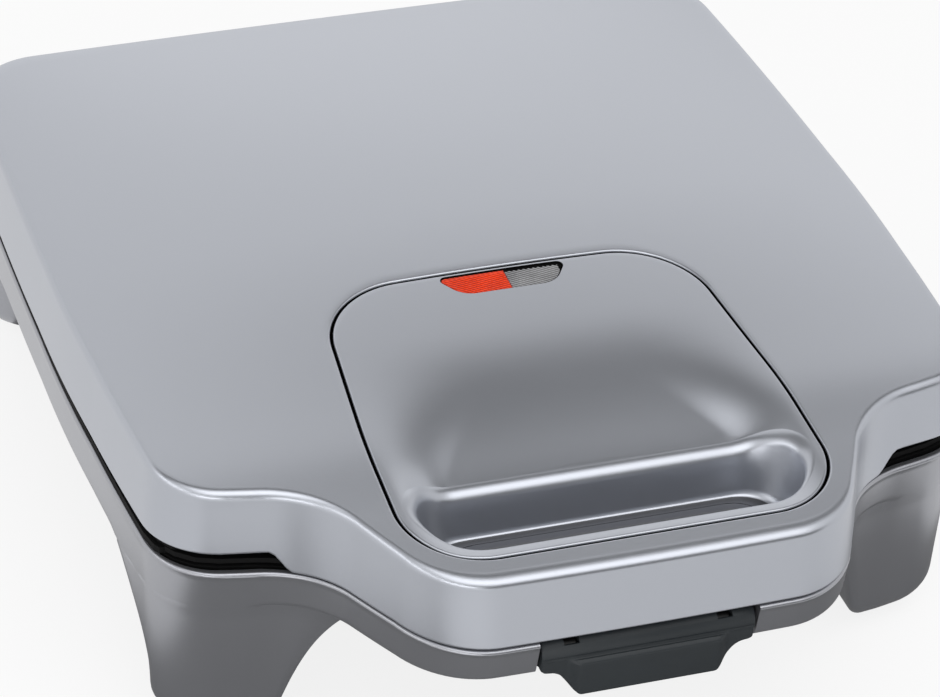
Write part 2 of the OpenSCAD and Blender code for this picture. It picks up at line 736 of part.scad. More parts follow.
module skin_sheet() {
  nx = 16;
  ny = 20;
  half = inlay_half + 3;
  y1 = inlay_front - 3;
  y2 = inlay_back + 3;
  function px(i) = -half + 2 * half * i / nx;
  function py(j) = y1 + (y2 - y1) * j / ny;
  top = [for (j = [0:ny], i = [0:nx]) [px(i), py(j), skin_z(px(i), py(j))]];
  low = [for (p = top) [p[0], p[1], p[2] - skin]];
  n = (nx + 1) * (ny + 1);
  quads = [for (j = [0:ny - 1], i = [0:nx - 1]) let (a = j * (nx + 1) + i, b = a + nx + 1) [a, a + 1, b + 1, b]];
  up = [for (q = quads) each [[q[0], q[2], q[1]], [q[0], q[3], q[2]]]];
  down = [for (q = quads) each [[n + q[0], n + q[1], n + q[2]], [n + q[0], n + q[2], n + q[3]]]];
  edge = concat([for (i = [0:nx]) i], [for (j = [1:ny]) j * (nx + 1) + nx],
    [for (i = [nx - 1:-1:0]) ny * (nx + 1) + i], [for (j = [ny - 1:-1:1]) j * (nx + 1)]);
  m = len(edge);
  rims = [for (k = [0:m - 1]) let (a = edge[k], b = edge[(k + 1) % m]) each [[a, b, n + b], [a, n + b, n + a]]];
  polyhedron(concat(top, low), concat(up, down, rims), convexity = 6);
}

// one level of the finger recess: 0 at its floor, 1 at its mouth
module recess_slice(t, d, z) {
  half = lerp(recess_half - 9, recess_half, t);
  front = recess_front + 1;
  back = lerp(recess_y2, crest_y, t);
  corners = [[0, front - d, 0], [half + d, front - d, lerp(12, 18, t) + d],
             [half + d, back + d, lerp(11, 12, t) + d], [0, back + d, 0]];
  translate([0, 0, z]) linear_extrude(eps)
    polygon([for (p = mirrored(rounded(corners, [5, 5]))) [p[0], p[1]]]);
}

mouth_z = edge_h - 10;
module recess_void() {
  hull() {
    recess_slice(0, 0, recess_floor - 4);
    recess_slice(0, 0, recess_floor);
  }
  hull() {
    recess_slice(0, 0, recess_floor);
    recess_slice(1, 0, mouth_z);
  }
  // the rounded lip over the back wall
  for (i = [0:3]) hull() {
    recess_slice(1, 4 * (1 - cos(i * 20)), mouth_z + 4 * sin(i * 20));
    recess_slice(1, 4 * (1 - cos(i * 20 + 20)), mouth_z + 4 * sin(i * 20 + 20));
  }
  hull() {
    recess_slice(1, 3.3, mouth_z + 3.9);
    recess_slice(1, 3.3, edge_h + 12);
  }
}

lens_half = 20;
lens_y = 120.5;
LENS_CORNERS = [[0, lens_y, 0], [lens_half - 5, lens_y, 8], [lens_half + 1, inlay_back - 2.2, 1.5], [0, inlay_back - 2, 0]];
module lens_plan(d) {
  polygon([for (p = mirrored(rounded(LENS_CORNERS, [5, 2]))) [p[0] + p[2] * d, p[1] + p[3] * d]]);
}

module handle_inlay() {
  color(silver) at_body() difference() {
    union() {
      intersection() {
        skin_sheet();
        translate([0, 0, rim_h]) linear_extrude(60) inlay_plan(0);
      }
      intersection() {
        hull() {
          recess_slice(0, skin, recess_floor - 1);
          recess_slice(1, skin, mouth_z);
        }
        translate([0, 0, recess_floor - 1]) linear_extrude(60) inlay_plan(0);
      }
      lens_seat();
    }
    recess_void();
    translate([0, 0, rim_h]) linear_extrude(60) lens_plan(0.15);
  }
}

lens_t = 3;
lens_level = top_z(0, lens_y + 4);
module lens_seat() {
  translate([0, 0, lens_level - skin - 5]) linear_extrude(5) lens_plan(1.4);
}

module recess_tray() {
  color(dark) at_body() difference() {
    hull() {
      recess_slice(0, -face, recess_floor - 1);
      recess_slice(0, -face, recess_floor + 0.4);
    }
    hull() {
      recess_slice(0, -3, recess_floor);
      recess_slice(0, -2.2, recess_floor + 1);
    }
  }
}

module lens(side) {
  intersection() {
    translate([0, 0, lens_level - 3.2]) linear_extrude(lens_t) lens_plan(0);
    translate([side > 0 ? 1 : -60, lens_y - 5, 0]) cube([side > 0 ? 60 : 60.85, 30, 200]);
  }
}

module red_lens() {
  color([0.9, 0.15, 0.05]) at_body() lens(-1);
}

module clear_lens() {
  color([0.85, 0.87, 0.88, 0.6]) at_body() lens(1);
}

lamp_z = lens_level - 3.2;
module lamp_holder() {
  color(dark) at_body() translate([0, 0, lamp_z - 6.6]) difference() {
    linear_extrude(6.4) lens_plan(-0.4);
    for (s = [-1, 1]) translate([s * 9, lens_y + 4.6, 1.4]) rotate([0, 90, 0]) cylinder(r = 2.6, h = 15, center = true);
    for (s = [-1, 1]) translate([s * 9 - 7.5, lens_y + 2, 1.4]) cube([15, 5.2, 10]);
  }
}

module neon_lamps() {
  color([0.95, 0.6, 0.4]) at_body() for (s = [-1, 1])
    translate([s * 9, lens_y + 4.6, lamp_z - 6.6 + 1.4]) rotate([0, 90, 0]) {
      cylinder(r = 2.3, h = 10, center = true);
      cylinder(r = 0.4, h = 14.6, center = true);
    }
}

module thermal_fuse() {
  z = meet_z + reflector_z;
  color(steel) at_body() translate([40, plate_mid + 20, z + 0.3 + 2]) rotate([0, 90, 0]) {
    cylinder(r = 2, h = 11, center = true);
    cylinder(r = 0.5, h = 34, center = true);
  }
}

// ---- latch: a clip that swings on a pin under the lid's nose ----
latch_front = -(flare + nose_lean);
latch_y = latch_front + latch_r;
latch_z = rim_h - 1 - latch_r;
ear_x = 24;
ear_t = 4;
ear_r = 3.1;
module latch_bracket() {
  low = rim_h - 0.5;
  color(steel) at_body() difference() {
    union() {
      translate([-ear_x - 6, latch_front + 3, low]) cube([2 * ear_x + 12, 9, 1]);
      for (s = [-1, 1]) translate([s * ear_x - ear_t / 2, latch_y, latch_z]) {
        rotate([0, 90, 0]) cylinder(r = ear_r, h = ear_t);
        translate([0, -0.3, 0]) cube([ear_t, ear_r, low - latch_z + 0.2]);
      }
    }
    translate([0, latch_y, latch_z]) rotate([0, 90, 0]) cylinder(r = latch_pin_r, h = 80, center = true);
  }
}

module latch_pin() {
  color(steel) at_body() translate([0, latch_y, latch_z]) rotate([0, 90, 0])
    cylinder(r = latch_pin_r, h = latch_w - 4, center = true);
}

tab_half = 21;
tab_top = 27.5;
clip_low = rim_h - nose_band + 1.5;
clip_t = 2.4;
module latch_clip() {
  half = latch_w / 2;
  tab_low = clip_low - tab_h;
  face_corners = [[0, latch_z, 0], [half, latch_z, 1], [half, clip_low, 1.5], [tab_top, clip_low - 0.6, 4],
                  [tab_half, tab_low, 4], [0, tab_low, 0]];
  raised = [[0, latch_z - 3.5, 0], [tab_half - 1.5, latch_z - 3.5, 3], [tab_top - 4, clip_low - 1, 3],
            [tab_half - 2, tab_low + 1, 3], [0, tab_low + 1, 0]];
  color(slate) at_body() difference() {
    union() {
      translate([0, latch_y, latch_z]) rotate([0, 90, 0]) cylinder(r = latch_r, h = latch_w, center = true);
      translate([0, latch_front + clip_t, 0]) rotate([90, 0, 0]) linear_extrude(clip_t - 0.2)
        polygon([for (p = mirrored(rounded(face_corners, [2, 3, 5, 5]))) [p[0], p[1]]]);
      translate([0, latch_front + 1, 0]) rotate([90, 0, 0]) linear_extrude(latch_out + 1)
        polygon([for (p = mirrored(rounded(raised, [3, 4, 4]))) [p[0], p[1]]]);
      // hook that snaps under the catch
      translate([-12, 0, 0]) rotate([90, 0, 90]) linear_extrude(24)
        polygon([[latch_front + 1, tab_low + 6], [latch_front + 1, tab_low + 1.5], [0.4, tab_low + 1.5],
                 [2.5, tab_low + 4], [2.5, tab_low + 4.4]]);
    }
    translate([0, latch_y, latch_z]) rotate([0, 90, 0]) cylinder(r = latch_pin_r + run, h = 90, center = true);
    for (s = [-1, 1]) translate([s * ear_x, latch_y, latch_z]) {
      translate([-ear_t / 2 - clear, -ear_r - 0.5, -ear_r - 0.5]) cube([ear_t + 2 * clear, 12, 20]);
      translate([-ear_t / 2 - clear, -9, 3]) cube([ear_t + 2 * clear, 12, 20]);
    }
  }
}

base_shell();
base_frame();
lower_plate();
lower_heater();
lower_reflector();
bottom_cover();
cover_screws();
foot_pads();
thermostat();
terminal_block();
cable_bushing();
base_hinge_brackets();
base_hinge_screws();
hinge_pins();
lid_shell();
lid_frame();
upper_plate();
upper_heater();
upper_reflector();
handle_inlay();
recess_tray();
red_lens();
clear_lens();
lamp_holder();
neon_lamps();
thermal_fuse();
lid_hinge_brackets();
lid_hinge_screws();
latch_bracket();
latch_pin();
latch_clip();
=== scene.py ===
import json
import math

import bmesh
import bpy
import numpy as np
from mathutils import Matrix, Vector


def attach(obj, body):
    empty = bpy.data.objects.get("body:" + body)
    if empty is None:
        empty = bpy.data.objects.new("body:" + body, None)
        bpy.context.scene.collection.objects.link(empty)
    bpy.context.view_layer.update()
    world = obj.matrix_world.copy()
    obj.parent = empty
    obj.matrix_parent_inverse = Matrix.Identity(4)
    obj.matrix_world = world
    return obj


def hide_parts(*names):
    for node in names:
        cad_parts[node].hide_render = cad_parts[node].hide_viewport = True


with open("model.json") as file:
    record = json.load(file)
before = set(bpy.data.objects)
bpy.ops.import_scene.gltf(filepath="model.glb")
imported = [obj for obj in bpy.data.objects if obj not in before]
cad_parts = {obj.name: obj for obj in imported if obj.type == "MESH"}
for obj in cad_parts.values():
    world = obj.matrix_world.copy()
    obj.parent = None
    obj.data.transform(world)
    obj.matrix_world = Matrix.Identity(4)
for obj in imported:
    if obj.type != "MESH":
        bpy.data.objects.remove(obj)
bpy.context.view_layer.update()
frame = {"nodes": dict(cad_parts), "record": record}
print("frame loaded")

mm = 0.001
quarter = np.pi / 2  # a quarter turn
creaseAngle = 38  # degrees; an edge that turns more is shaded sharp

# millimetres; x to the right, y back from the nose's front line, z up from the worktop
body = {
    "width": 272, "depth": 299.5, "frontLine": -153.5, "wall": 2.5,
    "edgeHeight": 95, "edgeRadius": 3, "rimHeight": 66.5, "flare": 5, "sideFlare": 0.5,
    "noseHalf": 62, "neckHalf": 86, "noseLength": 46.5, "noseSlope": 0.098, "noseLean": 3, "leanLength": 40,
    "slopeStart": 10, "slopeSoft": 5, "domeStart": 30, "domeRise": 8.4, "domeSpread": 3, "crown": 0.55,
    "noseRadius": 27, "neckRadius": 36, "shoulderRadius": 20, "sideRadius": 700, "backRadius": 24,
    "shoulderIn": 2.5, "shoulderBack": 9, "sideOut": 1.5, "rearIn": 4.5, "rearTrim": 1.5, "bow": 0.005,
    "seamAt": (50, 72, 100, 150, 200, 300), "seam": (7.4, 5.3, 4.6, 3.7, 3.1, 3.0),
    "noseSeam": 0.6, "seamPastNeck": 5, "seamBehindNose": 15, "seamCloses": 8,
    "noseBand": 13, "sideBand": 17.5, "bandFalls": 50, "bandDraft": 0.12, "footDraft": 0.06,
}
sideX = body["width"] / 2 - body["flare"]
crownY = body["depth"] * body["crown"]


def smooth(t):
    t = np.clip(t, 0, 1)
    return t * t * (3 - 2 * t)


def mix(a, b, t):
    return a + (b - a) * t


def cornerArc(before, corner, after, radius, spacing):
    # points [x, y, outward x, outward y] on the arc that rounds a corner
    q = np.array(corner, float)
    u = np.array(before, float) - q
    v = np.array(after, float) - q
    turn = -u[0] * v[1] + u[1] * v[0]
    u /= np.linalg.norm(u)
    v /= np.linalg.norm(v)
    w = (u + v) / np.linalg.norm(u + v)
    half = math.acos(max(-1, min(1, float(u @ v)))) / 2
    middle = q + w * radius / math.sin(half)
    side = 1 if turn > 0 else -1
    start = q + u * radius / math.tan(half) - middle
    sweep = math.pi - 2 * half
    steps = max(4, math.ceil(radius * sweep / spacing))
    points = []
    for i in range(steps + 1):
        a = side * sweep * i / steps
        dx = start[0] * math.cos(a) - start[1] * math.sin(a)
        dy = start[0] * math.sin(a) + start[1] * math.cos(a)
        points.append([middle[0] + dx, middle[1] + dy, side * dx / radius, side * dy / radius])
    return points


def closedPath(corners, spacing, bow=0.0):
    # corners are [x, y, radius] on the right half, from front to back; the left half mirrors them
    half = []
    for i in range(1, len(corners) - 1):
        a, b, c = corners[i - 1], corners[i], corners[i + 1]
        half += cornerArc(a[:2], b[:2], c[:2], b[2], spacing)
    points = half + [[-p[0], p[1], -p[2], p[3]] for p in reversed(half)]
    path = []
    for i, p in enumerate(points):
        q = points[(i + 1) % len(points)]
        gap = math.hypot(q[0] - p[0], q[1] - p[1])
        if gap < 0.001:
            continue
        steps = max(1, math.ceil(gap / spacing))
        for k in range(steps):
            t = k / steps
            out = 4 * bow * gap * t * (1 - t) if steps > 1 else 0
            path.append([mix(p[0], q[0], t) + p[2] * out, mix(p[1], q[1], t) + p[3] * out, p[2], p[3]])
    return np.array(path)


def boxPath(half, front, back, frontRadius, backRadius, spacing):
    corners = [[0, front, 0], [half, front, frontRadius], [half, back, backRadius], [0, back, 0]]
    return closedPath(corners, spacing)


def bodyPath(spacing):
    b = body
    corners = [
        [0, 0, 0], [b["noseHalf"], 0, b["noseRadius"]], [b["neckHalf"], b["noseLength"], b["neckRadius"]],
        [sideX - b["shoulderIn"], b["noseLength"] + b["shoulderBack"], b["shoulderRadius"]],
        [sideX + b["sideOut"], b["depth"] / 2, b["sideRadius"]],
        [sideX - b["rearIn"], b["depth"] - b["rearTrim"], b["backRadius"]], [0, b["depth"], 0],
    ]
    return closedPath(corners, spacing, b["bow"])


def bulge(y):
    start = body["domeStart"]
    rise = np.sin(quarter * np.clip(y - start, 0, crownY - start) / (crownY - start)) ** 2
    fall = 1 - ((y - crownY) / (body["depth"] - crownY)) ** 2
    return np.where(y < crownY, rise, fall)


def topHeight(x, y):
    # the sloping nose and the domed lid
    soft = body["slopeSoft"]
    drop = body["noseSlope"] * soft * np.logaddexp(0, (body["noseLength"] + body["slopeStart"] - y) / soft)
    dome = body["domeRise"] * bulge(y) * np.maximum(0, 1 - (x / (sideX + body["domeSpread"])) ** 2)
    return body["edgeHeight"] - drop + dome


def lidLowEdge(x, y):
    # the seam is wide on the shoulders, narrows along the sides and closes on the nose
    past = smooth((np.abs(x) - body["neckHalf"] - body["seamPastNeck"]) / body["seamCloses"])
    nose = np.where(y > body["noseLength"] + body["seamBehindNose"], 0, 1 - past)
    return body["rimHeight"] + mix(np.interp(y, body["seamAt"], body["seam"]), body["noseSeam"], nose)


def bandLowEdge(y):
    fall = smooth((y - body["noseLength"]) / body["bandFalls"])
    return body["rimHeight"] - mix(body["noseBand"], body["sideBand"], fall)


def draft(z):
    # how far the base stands outside the lid's top line
    band = body["flare"] - body["bandDraft"] * (body["rimHeight"] - z)
    bottom = body["rimHeight"] - body["sideBand"]
    foot = body["flare"] - body["bandDraft"] * body["sideBand"] - body["footDraft"] * (bottom - z)
    return np.where(z > bottom, band, foot)


def flareShare(nx):
    # the sides flare less than the front and back
    return 1 - body["sideFlare"] * nx ** 2


def wallRing(path, d, z):
    d = d * flareShare(path[:, 2])
    lean = body["noseLean"] * d / body["flare"]
    lean = lean * np.maximum(0, -path[:, 3]) * np.maximum(0, 1 - path[:, 1] / body["leanLength"])
    x = path[:, 0] + path[:, 2] * d
    y = path[:, 1] + path[:, 3] * d - lean
    return np.column_stack([x, y, np.broadcast_to(z, x.shape)])


def castOnto(outline, path, centre):
    # the outline's points that lie in line with a path's points, seen from the centre
    ways = path[:, :2] - np.array(centre)
    ways = ways / np.linalg.norm(ways, axis=1)[:, None]
    starts = outline[:, :2]
    edge = np.roll(starts, -1, 0) - starts
    rel = starts - centre
    found, normals = np.zeros_like(ways), np.zeros_like(ways)
    for i, v in enumerate(ways):
        cross = v[0] * edge[:, 1] - v[1] * edge[:, 0]
        cross = np.where(np.abs(cross) < 1e-12, 1e-12, cross)
        reach = (rel[:, 0] * edge[:, 1] - rel[:, 1] * edge[:, 0]) / cross
        along = (rel[:, 0] * v[1] - rel[:, 1] * v[0]) / cross
        hit = np.where((along >= -1e-9) & (along < 1 + 1e-9) & (reach > 0))[0]
        k = hit[np.argmin(reach[hit])]
        found[i] = np.array(centre) + reach[k] * v
        n = mix(outline[k, 2:], outline[(k + 1) % len(outline), 2:], along[k])
        normals[i] = n / np.linalg.norm(n)
    return np.column_stack([found, normals])


def addObject(name, data):
    thing = bpy.data.objects.new(name, data)
    bpy.context.scene.collection.objects.link(thing)
    return thing


def addMesh(name, points, faces, sharpAngle=creaseAngle):
    points = np.array(points, float)
    points[:, 1] += body["frontLine"]
    mesh = bpy.data.meshes.new(name)
    mesh.from_pydata((points * mm).tolist(), [], faces)
    bm = bmesh.new()
    bm.from_mesh(mesh)
    bmesh.ops.recalc_face_normals(bm, faces=bm.faces)
    bm.to_mesh(mesh)
    bm.free()
    mesh.shade_smooth()
    mesh.set_sharp_from_angle(angle=math.radians(sharpAngle))
    return addObject(name, mesh)


def loftFaces(ringCount, n, ends):
    # ends: "ring" joins the last ring to the first, "cap" closes both with one face
    faces = []
    last = ringCount if ends == "ring" else ringCount - 1
    for j in range(last):
        a = j * n
        b = ((j + 1) % ringCount) * n
        for i in range(n):
            k = (i + 1) % n
            faces.append((a + i, a + k, b + k, b + i))
    if ends == "cap":
        faces.append(tuple(range(n - 1, -1, -1)))
        faces.append(tuple(range((ringCount - 1) * n, ringCount * n)))
    return faces


def loft(name, rings, ends="ring", sharpAngle=creaseAngle):
    return addMesh(name, np.concatenate(rings), loftFaces(len(rings), len(rings[0]), ends), sharpAngle)


def combine(piece, tool, operation, sharpAngle=creaseAngle):
    # a boolean that is applied at once and removes its tool
    modifier = piece.modifiers.new("cut", "BOOLEAN")
    modifier.operation = operation
    modifier.object = tool
    modifier.solver = "EXACT"
    mesh = bpy.data.meshes.new_from_object(piece.evaluated_get(bpy.context.evaluated_depsgraph_get()))
    piece.modifiers.clear()
    old = piece.data
    piece.data = mesh
    bpy.data.meshes.remove(old)
    bpy.data.objects.remove(tool)
    mesh.name = piece.name
    mesh.shade_smooth()
    mesh.set_sharp_from_angle(angle=math.radians(sharpAngle))


def slab(name, low, high):
    x0, y0, z0 = low
    x1, y1, z1 = high
    ring = [[x0, y0], [x1, y0], [x1, y1], [x0, y1]]
    rings = [np.array([[x, y, z] for x, y in ring]) for z in (z0, z1)]
    return loft(name, rings, "cap")


def rod(name, centre, radius, length, axis, sides=48):
    a = np.linspace(0, 2 * np.pi, sides, endpoint=False)
    rings = []
    bevel = min(0.4, radius * 0.2)
    for along, r in [(-length / 2, radius - bevel), (-length / 2 + bevel, radius),
                     (length / 2 - bevel, radius), (length / 2, radius - bevel)]:
        u = r * np.cos(a)
        v = r * np.sin(a)
        w = np.full_like(u, along)
        rings.append(np.column_stack([w, u, v] if axis == "X" else [u, w, v]) + np.array(centre))
    return loft(name, rings, "cap")


def twoSidedFaces(columns, rows):
    # the faces of two grids of points, front and back, joined round their rims
    n = columns * rows
    faces = []
    for j in range(rows - 1):
        for i in range(columns - 1):
            a = j * columns + i
            faces.append((a, a + 1, a + columns + 1, a + columns))
            faces.append((n + a, n + a + columns, n + a + columns + 1, n + a + 1))
    rim = list(range(columns)) + [j * columns + columns - 1 for j in range(1, rows)]
    rim += [(rows - 1) * columns + i for i in range(columns - 2, -1, -1)]
    rim += [j * columns for j in range(rows - 2, 0, -1)]
    for k, a in enumerate(rim):
        b = rim[(k + 1) % len(rim)]
        faces.append((a, n + a, n + b, b))
    return faces


class Signal:
    # a shader socket that can stand in an arithmetic expression
    def __init__(self, shading, socket):
        self.shading = shading
        self.socket = socket

    def calculate(self, operation, *values):
        node = self.shading.node("ShaderNodeMath", {"operation": operation}, dict(enumerate(values)))
        return self.shading.signal(node)

    def __add__(self, other):
        return self.calculate("ADD", self, other)

    def __radd__(self, other):
        return self.calculate("ADD", other, self)

    def __sub__(self, other):
        return self.calculate("SUBTRACT", self, other)

    def __rsub__(self, other):
        return self.calculate("SUBTRACT", other, self)

    def __mul__(self, other):
        return self.calculate("MULTIPLY", self, other)

    def __rmul__(self, other):
        return self.calculate("MULTIPLY", other, self)

    def ridge(self):
        # 0 to 1 and back again over each whole number
        return self.calculate("PINGPONG", self, 0.5) * 2

    def clamp(self):
        return self.calculate("MINIMUM", self.calculate("MAXIMUM", self, 0), 1)

    def step(self, low, high):
        # 0 below low, 1 above high
        return ((self - low) * (1 / (high - low))).clamp()


class Shading:
    # adds nodes to one tree
    def __init__(self, tree):
        self.tree = tree

    def node(self, kind, settings, sockets):
        # a socket is given by its name or number, and takes a value or a signal
        node = self.tree.nodes.new(kind)
        for name, value in settings.items():
            setattr(node, name, value)
        for place, value in sockets.items():
            if isinstance(value, Signal):
                self.tree.links.new(value.socket, node.inputs[place])
            else:
                node.inputs[place].default_value = value
        return node

    def signal(self, node, output=0):
        return Signal(self, node.outputs[output])

    def backgroundRays(self):
        # 1 where the camera, a reflection or a see-through ray looks
        rays = self.node("ShaderNodeLightPath", {}, {})
        seen = self.signal(rays, "Is Camera Ray") + self.signal(rays, "Is Glossy Ray")
        return (seen + self.signal(rays, "Is Transmission Ray")).clamp()


class Finish(Shading):
    # a material around one Principled shader
    def __init__(self, name, **constants):
        self.material = bpy.data.materials.new(name)
        self.material.use_nodes = True
        super().__init__(self.material.node_tree)
        self.shader = self.tree.nodes["Principled BSDF"]
        for socket, value in constants.items():
            self.shader.inputs[socket.replace("_", " ")].default_value = value

    def place(self):
        return self.signal(self.node("ShaderNodeTexCoord", {}, {}), "Object")

    def axes(self):
        split = self.node("ShaderNodeSeparateXYZ", {}, {"Vector": self.place()})
        return [self.signal(split, axis) for axis in ("X", "Y", "Z")]

    def noise(self, scale, detail=3.0, roughness=0.5, vector=None):
        sockets = {"Vector": vector or self.place(), "Scale": scale, "Detail": detail, "Roughness": roughness}
        return self.signal(self.node("ShaderNodeTexNoise", {}, sockets))

    def scaled(self, factors):
        node = self.node("ShaderNodeVectorMath", {"operation": "MULTIPLY"}, {0: self.place(), 1: factors})
        return self.signal(node)

    def blend(self, first, second, factor):
        # colours, as (r, g, b, 1) or a signal; the Mix node keeps them in its sockets 6 and 7
        node = self.node("ShaderNodeMix", {"data_type": "RGBA"}, {0: factor, 6: first, 7: second})
        return self.signal(node, 2)

    def feed(self, socket, signal):
        self.tree.links.new(signal.socket, self.shader.inputs[socket])

    def paint(self, first, second, factor):
        self.feed("Base Color", self.blend(first, second, factor))

    def bump(self, height, distance, strength):
        node = self.node("ShaderNodeBump", {}, {"Height": height, "Distance": distance, "Strength": strength})
        self.feed("Normal", self.signal(node))


def tone(value, tint=(1.0, 1.0, 1.0)):
    return (value * tint[0], value * tint[1], value * tint[2], 1.0)


lens = {
    "half": 20, "front": 120.5, "inBack": 1.3, "frontIn": 5, "backOut": 1, "backDip": 0.2, "frontRadius": 8,
    "backRadius": 1.5, "split": 0.92, "gap": 0.06, "sunk": 0.42, "thick": 2.6, "frame": 1.3,
    "ribPitch": 1.2, "ribSlant": 0.75, "ribHeight": 0.3, "rimDrop": 0.05,
    "columns": 110, "rows": 56, "spacing": 0.25, "inset": 0.02, "sharp": 25,
}
silver = {
    "metal": 0.86, "roughness": 0.33, "grain": 0.06, "level": 0.47, "tint": (0.935, 0.972, 1.062),
    "shadedBaseLevel": 0.37, "trayAndShelfShadeLevel": 0.13, "baseTint": (0.96, 0.975, 1.045),
}


def silverPaint(name, level, tint):
    # metallic paint: fine flakes, a slow change of tone and a faint orange peel
    finish = Finish(name, Metallic=silver["metal"])
    flakes = finish.noise(5200, 2.0, 0.7)
    cloud = finish.noise(14, 3.0, 0.5)
    shade = 1 + (flakes - 0.5) * silver["grain"] * 2.4 + (cloud - 0.5) * silver["grain"]
    finish.paint(tone(level * 0.5, tint), tone(level * 1.5, tint), shade * 0.5)
    finish.feed("Roughness", silver["roughness"] + (flakes - 0.5) * 0.16 + (cloud - 0.5) * 0.05)
    finish.bump(finish.noise(900, 2.0, 0.5) + flakes * 0.35, 0.00003, 0.35)
    return finish.material


def matteBlack(name, level, roughness, shine):
    finish = Finish(name, Specular_IOR_Level=shine)
    tint = (1, 1, 1.02)
    grain = finish.noise(2600, 3.0, 0.6)
    cloud = finish.noise(30, 2.0)
    finish.paint(tone(level * 0.75, tint), tone(level * 1.3, tint), cloud)
    finish.feed("Roughness", roughness + (grain - 0.5) * 0.2)
    finish.bump(grain, 0.00004, 0.4)
    return finish.material


def nonStickCoat():
    # sprayed coating on a cast plate, with a speckle and a few worn-in stains
    finish = Finish("nonStickCoat", Specular_IOR_Level=0.6)
    speckle = finish.noise(3400, 2.0, 0.7).step(0.62, 0.72)
    stain = finish.noise(22, 4.0, 0.6).step(0.5, 0.75)
    base = finish.blend(tone(0.026), tone(0.045, (1.05, 1.0, 0.93)), stain)
    finish.paint(base, tone(0.14), speckle * 0.5)
    finish.feed("Roughness", 0.3 + stain * 0.12 + speckle * 0.1)
    finish.bump(finish.noise(1300, 2.0), 0.00005, 0.35)
    return finish.material


def plainSteel(name, level, roughness, stretch=(1, 1, 1), tint=(1, 1, 1)):
    # drawn or rolled steel with fine lines along one axis
    finish = Finish(name, Metallic=1.0)
    lines = finish.noise(1500, 3.0, 0.6, finish.scaled(stretch))
    stain = finish.noise(60, 3.0, 0.6)
    finish.paint(tone(level * 0.8, tint), tone(level * 1.2, tint), stain)
    finish.feed("Roughness", roughness + (lines - 0.5) * 0.2 + (stain - 0.5) * 0.1)
    finish.bump(lines, 0.00002, 0.3)
    return finish.material


def heaterSteel():
    # the sheath of a heating tube, which heat has turned brown and blue in bands
    finish = Finish("heaterSteel", Metallic=0.9)
    heat = finish.noise(26, 2.0, 0.5)
    brown = finish.blend(tone(0.30, (1.0, 0.9, 0.8)), tone(0.2, (1.0, 0.8, 0.62)), heat.step(0.35, 0.6))
    finish.paint(brown, tone(0.2, (0.85, 0.95, 1.25)), heat.step(0.6, 0.75))
    finish.feed("Roughness", 0.42 + (finish.noise(900) - 0.5) * 0.2)
    return finish.material


def softRubber():
    finish = Finish("softRubber", Specular_IOR_Level=0.3)
    dust = finish.noise(420, 4.0, 0.7)
    finish.paint(tone(0.022), tone(0.06), dust.step(0.5, 0.8))
    finish.feed("Roughness", 0.78 + (dust - 0.5) * 0.2)
    finish.bump(finish.noise(3000), 0.00006, 0.5)
    return finish.material


def paleMoulding(name, level, tint, roughness):
    # ceramic or nylon
    finish = Finish(name, Subsurface_Weight=0.05)
    speck = finish.noise(1800, 3.0, 0.7)
    cloud = finish.noise(70, 2.0)
    finish.paint(tone(level * 0.9, tint), tone(level * 1.05, tint), cloud)
    finish.feed("Roughness", roughness + (speck - 0.5) * 0.15)
    finish.bump(speck, 0.00003, 0.4)
    return finish.material


def slatePlastic():
    # satin moulded plastic with a spark-eroded grain
    finish = Finish("slatePlastic", Specular_IOR_Level=0.35)
    grain = finish.noise(3000, 3.0, 0.6)
    cloud = finish.noise(40, 2.0)
    dark, light = tone(0.017, (0.8, 1.0, 1.16)), tone(0.027, (0.82, 1.0, 1.14))
    finish.paint(dark, light, cloud)
    finish.feed("Roughness", 0.5 + (grain - 0.5) * 0.16)
    finish.bump(grain, 0.00004, 0.35)
    return finish.material


def lensPlastic(name, color, deep, glow):
    # tinted plastic with painted shade between the ribs of its mesh
    finish = Finish(name, Specular_IOR_Level=0.25, Emission_Strength=glow)
    x, y = finish.axes()[:2]
    rib = ((x * lens["ribSlant"] + (y - body["frontLine"] * mm)) * (1 / (lens["ribPitch"] * mm))).ridge()
    cloud = finish.noise(160, 3.0, 0.6)
    # the deep colour between the ribs is painted shade; the cloud is a random change of tone
    shade = finish.blend(deep, color, (rib * 0.9 + cloud.step(0.3, 0.62) * 0.25).clamp())
    finish.feed("Base Color", shade)
    finish.feed("Emission Color", shade)
    finish.feed("Roughness", 0.16 + (finish.noise(900) - 0.5) * 0.1)
    return finish.material


def lampGlass():
    finish = Finish("lampGlass", Roughness=0.06, Transmission_Weight=0.6, IOR=1.5)
    soot = finish.noise(700, 3.0, 0.6)
    finish.paint((1.0, 0.62, 0.4, 1), (0.75, 0.38, 0.22, 1), soot)
    return finish.material


